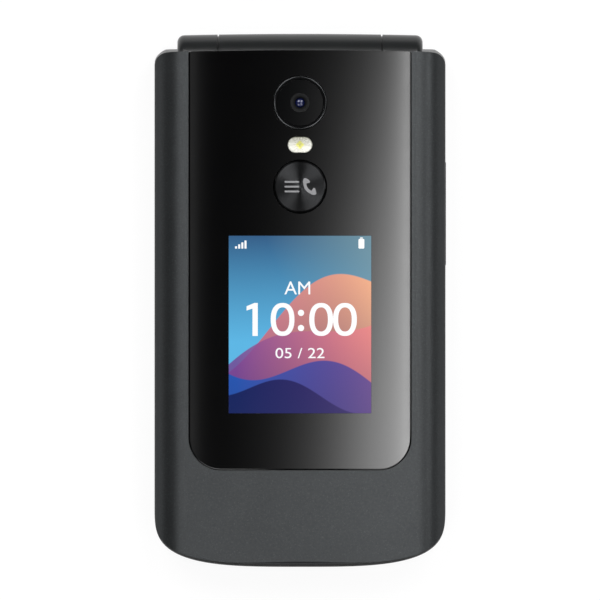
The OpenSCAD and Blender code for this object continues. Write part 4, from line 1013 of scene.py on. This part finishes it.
def metallic_paint(name, colour):
    """Sprayed paint with fine metal flakes: each flake tips its own way, under a satin coat"""
    finish, tree, shade = new_finish(
        name, colour, 0.4, {"Metallic": 0.8, "Specular Tint": (0.4, 0.4, 0.4, 1)}
    )
    flakes = add_node(tree, "TexVoronoi", {"Scale": 7, "Vector": place_of(tree)})
    sparkle = add_node(tree, "SeparateColor", {"Color": flakes.outputs["Color"]})
    pale = [c * 1.25 for c in colour]
    dark = [c * 0.8 for c in colour]
    mottle = blend_colours(tree, noise(tree, 0.45, 4), dark, pale)
    bright = spread(tree, sparkle.outputs["Red"], 0, 0.35, 0.9, 1.0)
    wire(tree, shade, {"Base Color": blend_colours(tree, bright, mottle, [min(1, c * 2.2) for c in colour]),
                       "Roughness": spread(tree, noise(tree, 4, 3), 0.37, 0.43)})
    relief(tree, shade, sparkle.outputs["Green"], 0.0018, soft_edge(tree, 0.03))
    return finish


paint = metallic_paint("dark_grey_metallic", (0.0385, 0.041, 0.0425))
seat(lid_shell, "lid_shell", "lid", paint, ["lid_front_cover"], 28)

# ---- Lid panel ----
# One curved sheet of clear acrylic, printed black on its back, glued into the pocket.
# It is cut out for the camera, the flash and the call key, and left open at the screen.

panel_rings = []
for drop, d in ((1.0, 0.1), (0.9, 0), (0.2, 0), (0.12, 0.02), (0.055, 0.06), (0.012, 0.12), (0, 0.19),
                (0, 0.25), (0, 0.4)):
    outline = panel_plan(d, lid_top_y - 0.02 - 0.25 * d)
    panel_rings.append([(x, y, section(x) - drop) for x, y in outline])
points, faces = skin(panel_rings, curved_floor=True, curved_roof=True)
points = lean(points, lid_top_y, lambda h: lid_top - h)
panel = blank("panel", points, faces)
carve(
    panel,
    round_hole(camera_y, round_hole_r, 15, steps=160), round_hole(call_y, round_hole_r, 15, steps=160),
    pad(0, flash_y, *flash_hole, [(15, 0), (25, 0)]), pad(0, screen_y, 28.1, 35, 0.15, [(15, 0), (25, 0)]),
)
panel_black = moulded("panel_gloss_black", (0.0012, 0.0012, 0.0013), 0.08, 3, 0.0003, 0.02, **{"IOR": 1.49})
seat(panel, "panel_sheet", "lid", panel_black, ["lid_panel"], 25)

# ---- Outer screen ----
# The small display stands in the panel's opening: a clear front, cut to the same curve as
# the panel, over the lit picture, with the clock's marks on it.


def outer_face(x, y):
    """Height of the outer screen's face: the lid's own crown"""
    return section(x)


def screen_ring(inset, z):
    """Outline of the outer screen; z(x) is the height"""
    w, low = 28.06 - 2 * inset, screen_y - 17.48 + inset
    turn_up = low + 4 * w / 88
    bottom = [(w / 2, turn_up), (w / 2, low), (-w / 2, low), (-w / 2, turn_up)]
    return [(x, y, z(x)) for x, y in close_outline(bottom, w / 2, 0.05, screen_y + 17.48 - inset)]


screen_rings = [screen_ring(0, lambda x: 15.6), screen_ring(0, lambda x: section(x) - 0.02),
                screen_ring(0.02, section), screen_ring(0.12, section)]
outer_screen = blank("screen", *skin(screen_rings, curved_roof=True))
seat(outer_screen, "outer_screen", "lid",
     screen_picture("outer_screen_picture", 0, screen_y, 28.1, 35, 0.12), crease=25)
clock = [
    lettering("AM", 3.7, -0.4, screen_y + 7.05, outer_face),
    lettering("05 / 22", 2.9, 0, screen_y - 5.75, outer_face, wide=1.2),
]
clock += clock_figures(0, screen_y + 1.0, 6.5, outer_face) + status_marks(0, 10.2, 1, outer_face)
seat(join(clock), "outer_screen_marks", "lid", lit_white)

# ---- Camera ----
# A black-plated ring stands just proud of the panel round a black glass disc, bent a little
# like the panel. In the disc's clear middle a grey baffle leads down to a small blue lens.

ring_profile = [
    (3.7, 17.395), (5.26, 17.395), (5.26, 18.8), (5.235, 18.87), (5.18, 18.92), (5.1, 18.945),
    (5.02, 18.93), (4.9, 18.86), (4.7, 18.66), (4.6, 18.56), (4.55, 18.5), (4.55, 17.8), (3.7, 17.8),
]
camera_ring = turned(ring_profile, (0, camera_y, 0), steps=160, closed=True)
ring_black = bare_metal("black_plated_ring", (0.04, 0.041, 0.043), 0.2)
seat(camera_ring, "camera_trim_ring", "lid", ring_black, ["camera_ring"])
disc_profile = [(1.9, 17.845), (4.5, 17.845), (4.5, 18.545), (4.4, 18.545), (3.8, 18.545), (3.2, 18.545),
                (2.6, 18.545), (2.08, 18.545), (1.93, 18.545), (1.9, 18.52)]
glass_disc = turned(disc_profile, (0, camera_y, 0), steps=160, closed=True)
disc_bend_r = 135
for vertex in glass_disc.data.vertices:
    if vertex.co.z > 18.4:
        vertex.co.z -= vertex.co.x ** 2 / (2 * disc_bend_r)
disc_black = moulded("camera_glass_black", (0.0012, 0.0013, 0.0015), 0.08, 3, 0.0001, 0.02, **{"IOR": 1.49})
seat(glass_disc, "camera_glass_disc", "lid", disc_black, ["camera_window"])
baffle_profile = [(1.0, 16.45), (2.15, 16.45), (2.15, 17.8), (1.88, 17.8), (1.88, 18.46), (1.8, 18.46),
                  (1.5, 18.4), (1.2, 18.26), (1.02, 18.05), (1.0, 17.9)]
baffle = turned(baffle_profile, (0, camera_y, 0), steps=128, closed=True)
baffle_grey = moulded("baffle_grey", (0.0035, 0.0038, 0.004), 0.6, **{"Specular IOR Level": 0.15})
seat(baffle, "camera_baffle", "lid", baffle_grey)
lens_profile = [(0, 16.6), (0.98, 16.6), (0.98, 17.25)]
lens_profile += [(0.98 * math.cos(math.radians(a)), 17.25 + 0.45 * math.sin(math.radians(a)))
                 for a in range(10, 90, 10)] + [(0, 17.7)]
lens = turned(lens_profile, (0, camera_y, 0), steps=64)
lens_blue = moulded("coated_lens", (0.006, 0.009, 0.042), 0.14, 1, 0.0001, 0.02, **{"Metallic": 0.2})
seat(lens, "camera_lens", "lid", lens_blue)
dress(socket_black, "camera_module")

# ---- Flash ----
# A small frosted window with rounded ends over a white reflector, with the lamp's
# yellow phosphor glowing through at its middle.


def flash_finish(name):
    """Frosted plastic: yellow star at the lamp, fine spokes of the reflector round it, and painted shade that
    darkens it toward its top end
    """
    finish, tree, shade = new_finish(name, (0.8, 0.79, 0.7), 0.3, {"Coat Weight": 0.4, "Coat Roughness": 0.1})
    from_lamp = add_node(tree, "VectorMath", {0: place_of(tree), 1: (0, flash_y, 0)}, operation="SUBTRACT")
    axes = add_node(tree, "SeparateXYZ", {"Vector": from_lamp.outputs["Vector"]})
    x, y = axes.outputs["X"], axes.outputs["Y"]
    squares = reckon(tree, "ADD", reckon(tree, "MULTIPLY", x, x), reckon(tree, "MULTIPLY", y, y))
    reach = reckon(tree, "SQRT", squares)
    turn = reckon(tree, "ARCTAN2", y, x)
    spokes = reckon(tree, "COSINE", reckon(tree, "MULTIPLY", turn, 16))
    points4 = reckon(tree, "COSINE", reckon(tree, "MULTIPLY", turn, 4))
    star = reckon(tree, "SUBTRACT", reach, reckon(tree, "MULTIPLY", points4, 0.1))
    grey = blend_colours(tree, spread(tree, spokes, 0, 0.5, -0.2, 1), (0.66, 0.65, 0.57), (0.36, 0.36, 0.32))
    low = blend_colours(tree, spread(tree, reach, 0, 1, 1.1, 2.2), grey, (0.6, 0.6, 0.54))
    colour = blend_colours(tree, spread(tree, star, 0.95, 0, 0.5, 0.85), low, (0.72, 0.7, 0.12))
    core = blend_colours(tree, spread(tree, reach, 0.5, 0, 0.1, 0.45), colour, (0.85, 0.84, 0.45))
    # Painted shade: the colour is multiplied down to about 0.42 toward the window's top end (+y), as if shaded
    # there
    top_painted_shade = blend_colours(tree, spread(tree, y, 0, 1, 1.3, -0.6), (0.42, 0.42, 0.38), (1, 1, 1))
    shadow = add_node(tree, "VectorMath", {0: core, 1: top_painted_shade}, operation="MULTIPLY")
    tree.links.new(shadow.outputs["Vector"], shade.inputs["Base Color"])
    relief(tree, shade, spokes, 0.02)
    return finish


outline = rounded(0, flash_y, 4.85, 3.15, 1.565, 14)
flash_rings = [[(x, y, z) for x, y in outline] for z in (17.295, 17.8, 18.4)]
for a in (15, 30, 45, 60, 75, 90):
    d = 0.4 * (1 - math.cos(math.radians(a)))
    z = 18.4 + 0.26 * math.sin(math.radians(a))
    inner_line = rounded(0, flash_y, 4.85 - 2 * d, 3.15 - 2 * d, 1.565 - d, 14)
    flash_rings.append([(x, y, z) for x, y in inner_line])


def flash_face(x, y):
    """Height of the flash window's face"""
    return 18.745 - 0.085 * ((x / 2.03) ** 2 + ((y - flash_y) / 1.18) ** 2)


flash = dome_cap(inner_line, (0, flash_y), flash_rings, flash_face)
seat(flash, "flash_window", "lid", flash_finish("frosted_flash"), ["flash_lens"])
dress(moulded("lamp_phosphor", (0.85, 0.6, 0.1), 0.5, 0.1, 0.01), "flash_led")

# ---- Call key ----
# A round key of dark spun metal with a bright cut rim, sitting flush in the panel.
# The lathe's fine grooves draw the light out into soft wedges; the mark is printed grey.



def call_key_height(r):
    """The key's face is domed by a tenth of a millimetre"""
    return lid_top - 0.1 * (r / 4.7) ** 2


key_profile = [(0, 15.045), (5.9, 15.045), (5.9, 15.495), (5.2, 15.495), (5.2, 18.33), (5.17, 18.4),
               (4.86, 18.66), (4.8, 18.69), (4.72, 18.694), (4.6, 18.7)]
key_profile += [(r, call_key_height(r)) for r in (4.4, 3.9, 3.3, 2.6, 1.9, 1.2, 0.6)]
key_profile.append((0, lid_top))
call_key = turned(key_profile, (0, call_y, 0), steps=192)


def spun_metal(name, colour):
    """Dark metal turned on a lathe, its grooves running round the middle"""
    finish, tree, shade = new_finish(
        name, colour, 0.25, {"Metallic": 1, "Anisotropic": 0.92, "Anisotropic Rotation": 0.25}
    )
    around = add_node(tree, "Tangent", direction_type="RADIAL", axis="Z")
    from_middle = add_node(tree, "VectorMath", {0: place_of(tree), 1: (0, call_y, 0)}, operation="SUBTRACT")
    grooves = add_node(tree, "TexWave", {"Scale": 0.7, "Vector": from_middle.outputs["Vector"]},
                       wave_type="RINGS", rings_direction="Z")
    shades = blend_colours(tree, grooves.outputs["Fac"], [c * 0.9 for c in colour], colour)
    wire(tree, shade, {"Tangent": around.outputs["Tangent"], "Base Color": shades,
                       "Roughness": spread(tree, noise(tree, 1.5), 0.24, 0.27)})
    relief(tree, shade, grooves.outputs["Fac"], 0.0003)
    return finish


seat(call_key, "call_key_cap", "call_button",
     spun_metal("spun_dark_metal", (0.024, 0.0245, 0.0255)), ["call_button"], 20)


def key_face(x, y):
    return call_key_height(math.hypot(x, y - call_y))


marks = [plate(handset(1.75, call_y - 0.1, 2.15, 215), key_face)]
marks += [plate(rounded(-1.6, call_y + k * 0.95, 2.9, 0.36, 0.17, 4), key_face) for k in (-1, 0, 1)]
seat(join(marks), "call_key_print", "call_button",
     moulded("grey_print", (0.16, 0.16, 0.165), 0.5, 0.15, 0.002, 0.02))
dress(steel, "call_switch")

# ---- Studio ----
# A white table under soft lamps. One graded card beside the camera gives the panel its
# streak of light, and a dark card over everything keeps the rest of the gloss black.


def studio_card(name, x0, x1, y0, y1, z, material):
    """Level card that belongs to the studio, not to the phone"""
    mesh = bpy.data.meshes.new(name)
    mesh.from_pydata([(x0, y0, z), (x0, y1, z), (x1, y1, z), (x1, y0, z)], [], [(0, 1, 2, 3)])
    card = stand(name, mesh)
    mesh.materials.append(material)
    return card


def bare_tree(owner, output="ShaderNodeOutputMaterial"):
    """A material's or the world's nodes, emptied but for a new output"""
    owner.use_nodes = True
    owner.node_tree.nodes.clear()
    return owner.node_tree, owner.node_tree.nodes.new(output)


def camera_or_mirrored(tree):
    """True for what the camera sees, straight on, in a reflection or through glass"""
    paths = add_node(tree, "LightPath")
    seen = reckon(tree, "MAXIMUM", paths.outputs["Is Camera Ray"], paths.outputs["Is Glossy Ray"])
    return reckon(tree, "MAXIMUM", seen, paths.outputs["Is Transmission Ray"])


def mix(tree, share, first, second):
    """One shader over another by a share"""
    return add_node(tree, "MixShader", {"Fac": share, 1: first, 2: second}).outputs[0]


table_white = bpy.data.materials.new("white_table")
tree, out = bare_tree(table_white)
matt = add_node(tree, "BsdfDiffuse", {"Color": (0.9, 0.9, 0.9, 1)}).outputs[0]
bright = add_node(tree, "Emission").outputs[0]
seen_white = mix(tree, camera_or_mirrored(tree), matt, mix(tree, 0.9, matt, bright))
clear = add_node(tree, "BsdfTransparent").outputs[0]
from_below = add_node(tree, "NewGeometry").outputs["Backfacing"]
tree.links.new(mix(tree, from_below, seen_white, clear), out.inputs["Surface"])
floor = studio_card("table", -6, 6, -6, 6, -0.00005, table_white)
floor.data.flip_normals()

card_light = bpy.data.materials.new("graded_card")
tree, out = bare_tree(card_light)
axes = add_node(tree, "SeparateXYZ", {"Vector": place_of(tree)})
broad_peak, broad_x, broad_width = 9.5, 109.8, 36
edge_x, edge_peak, edge_width = 142, 4, 10
left_peak, left_width = 0.4, 8


def fade(value, width):
    """Grows by e for each width that the value moves on; a minus width falls off instead"""
    return reckon(tree, "POWER", math.e, reckon(tree, "DIVIDE", value, width))


x, y = axes.outputs["X"], axes.outputs["Y"]
bend = reckon(tree, "MULTIPLY", reckon(tree, "ADD", reckon(tree, "MULTIPLY", y, 0.0046), 0.829), y)
past_middle = reckon(tree, "SUBTRACT", x, reckon(tree, "ADD", bend, broad_x))
soft_step = reckon(tree, "ADD", fade(past_middle, -broad_width), 1)
broad_light = reckon(tree, "DIVIDE", broad_peak, soft_step)
edge_light = reckon(tree, "MULTIPLY", fade(reckon(tree, "SUBTRACT", x, edge_x), edge_width), edge_peak)
right_light = reckon(tree, "ADD", broad_light, edge_light)
left_light = reckon(tree, "MULTIPLY", fade(reckon(tree, "ADD", x, edge_x), -left_width), left_peak)
glow = add_node(tree, "Emission", {"Strength": reckon(tree, "ADD", right_light, left_light)})
tree.links.new(glow.outputs[0], out.inputs["Surface"])
graded = studio_card("graded_card", -0.15, 0.15, -0.055, 0.07, 0.519, card_light)
graded.visible_camera = False
graded.visible_shadow = False

dark = bpy.data.materials.new("dark_cloth")
tree, out = bare_tree(dark)
axes = add_node(tree, "SeparateXYZ", {"Vector": place_of(tree)})
unlit = add_node(tree, "Emission", {"Strength": spread(tree, axes.outputs["Z"], 0.22, 0, 0, 800)})
tree.links.new(unlit.outputs[0], out.inputs["Surface"])
tent_r = 1.3
tent_line = [(tent_r * math.sin(math.radians(a)), tent_r * math.cos(math.radians(a)))
             for a in range(5, 91, 5)]
tent = turned([(0, tent_r + 0.01)] + tent_line, (0, 0, 0), steps=64)
tent.name = tent.data.name = "dark_tent"
tent.data.materials.append(dark)
tent.visible_camera = tent.visible_diffuse = tent.visible_shadow = tent.visible_transmission = False

# Lamps: place in metres, width and watts
for name, place, size, power in (
    ("lamp_far_left", (-0.26, 0.36, 0.85), 0.42, 4.2), ("lamp_far_right", (0.3, 0.35, 0.85), 0.42, 3.8),
    ("lamp_near_left", (-0.26, -0.36, 0.85), 0.42, 2.1), ("lamp_near_right", (0.3, -0.35, 0.85), 0.42, 1.9),
    ("lamp_side_right", (0.8, 0.1, 0.6), 0.3, 1.6), ("lamp_rim_left", (-0.95, 0.3, 0.42), 0.06, 0.15),
):
    light = bpy.data.lights.new(name, "AREA")
    light.shape = "DISK"
    light.size = size
    light.energy = power
    lamp = stand(name, light)
    lamp.location = place
    lamp.rotation_euler = (Vector((0, 0, 0.01)) - Vector(place)).to_track_quat("-Z", "Y").to_euler()

world = bpy.data.worlds.new("room")
bpy.context.scene.world = world
tree, out = bare_tree(world, "ShaderNodeOutputWorld")
air = add_node(tree, "Background", {"Color": (0.3, 0.3, 0.31, 1)}).outputs[0]
white = add_node(tree, "Background").outputs[0]
tree.links.new(mix(tree, camera_or_mirrored(tree), air, white), out.inputs["Surface"])

camera_far = 4.5
frame_width = 0.1182
camera = bpy.data.cameras.new("camera")
camera.sensor_width = 36
camera.lens = 36 * camera_far / frame_width
camera.clip_end = 20
eye = stand("camera", camera)
eye.location = (0, 0.00007, camera_far + lid_top / 1000)
bpy.context.scene.camera = eye
bpy.context.scene.view_settings.view_transform = "Standard"

bpy.context.view_layer.update()
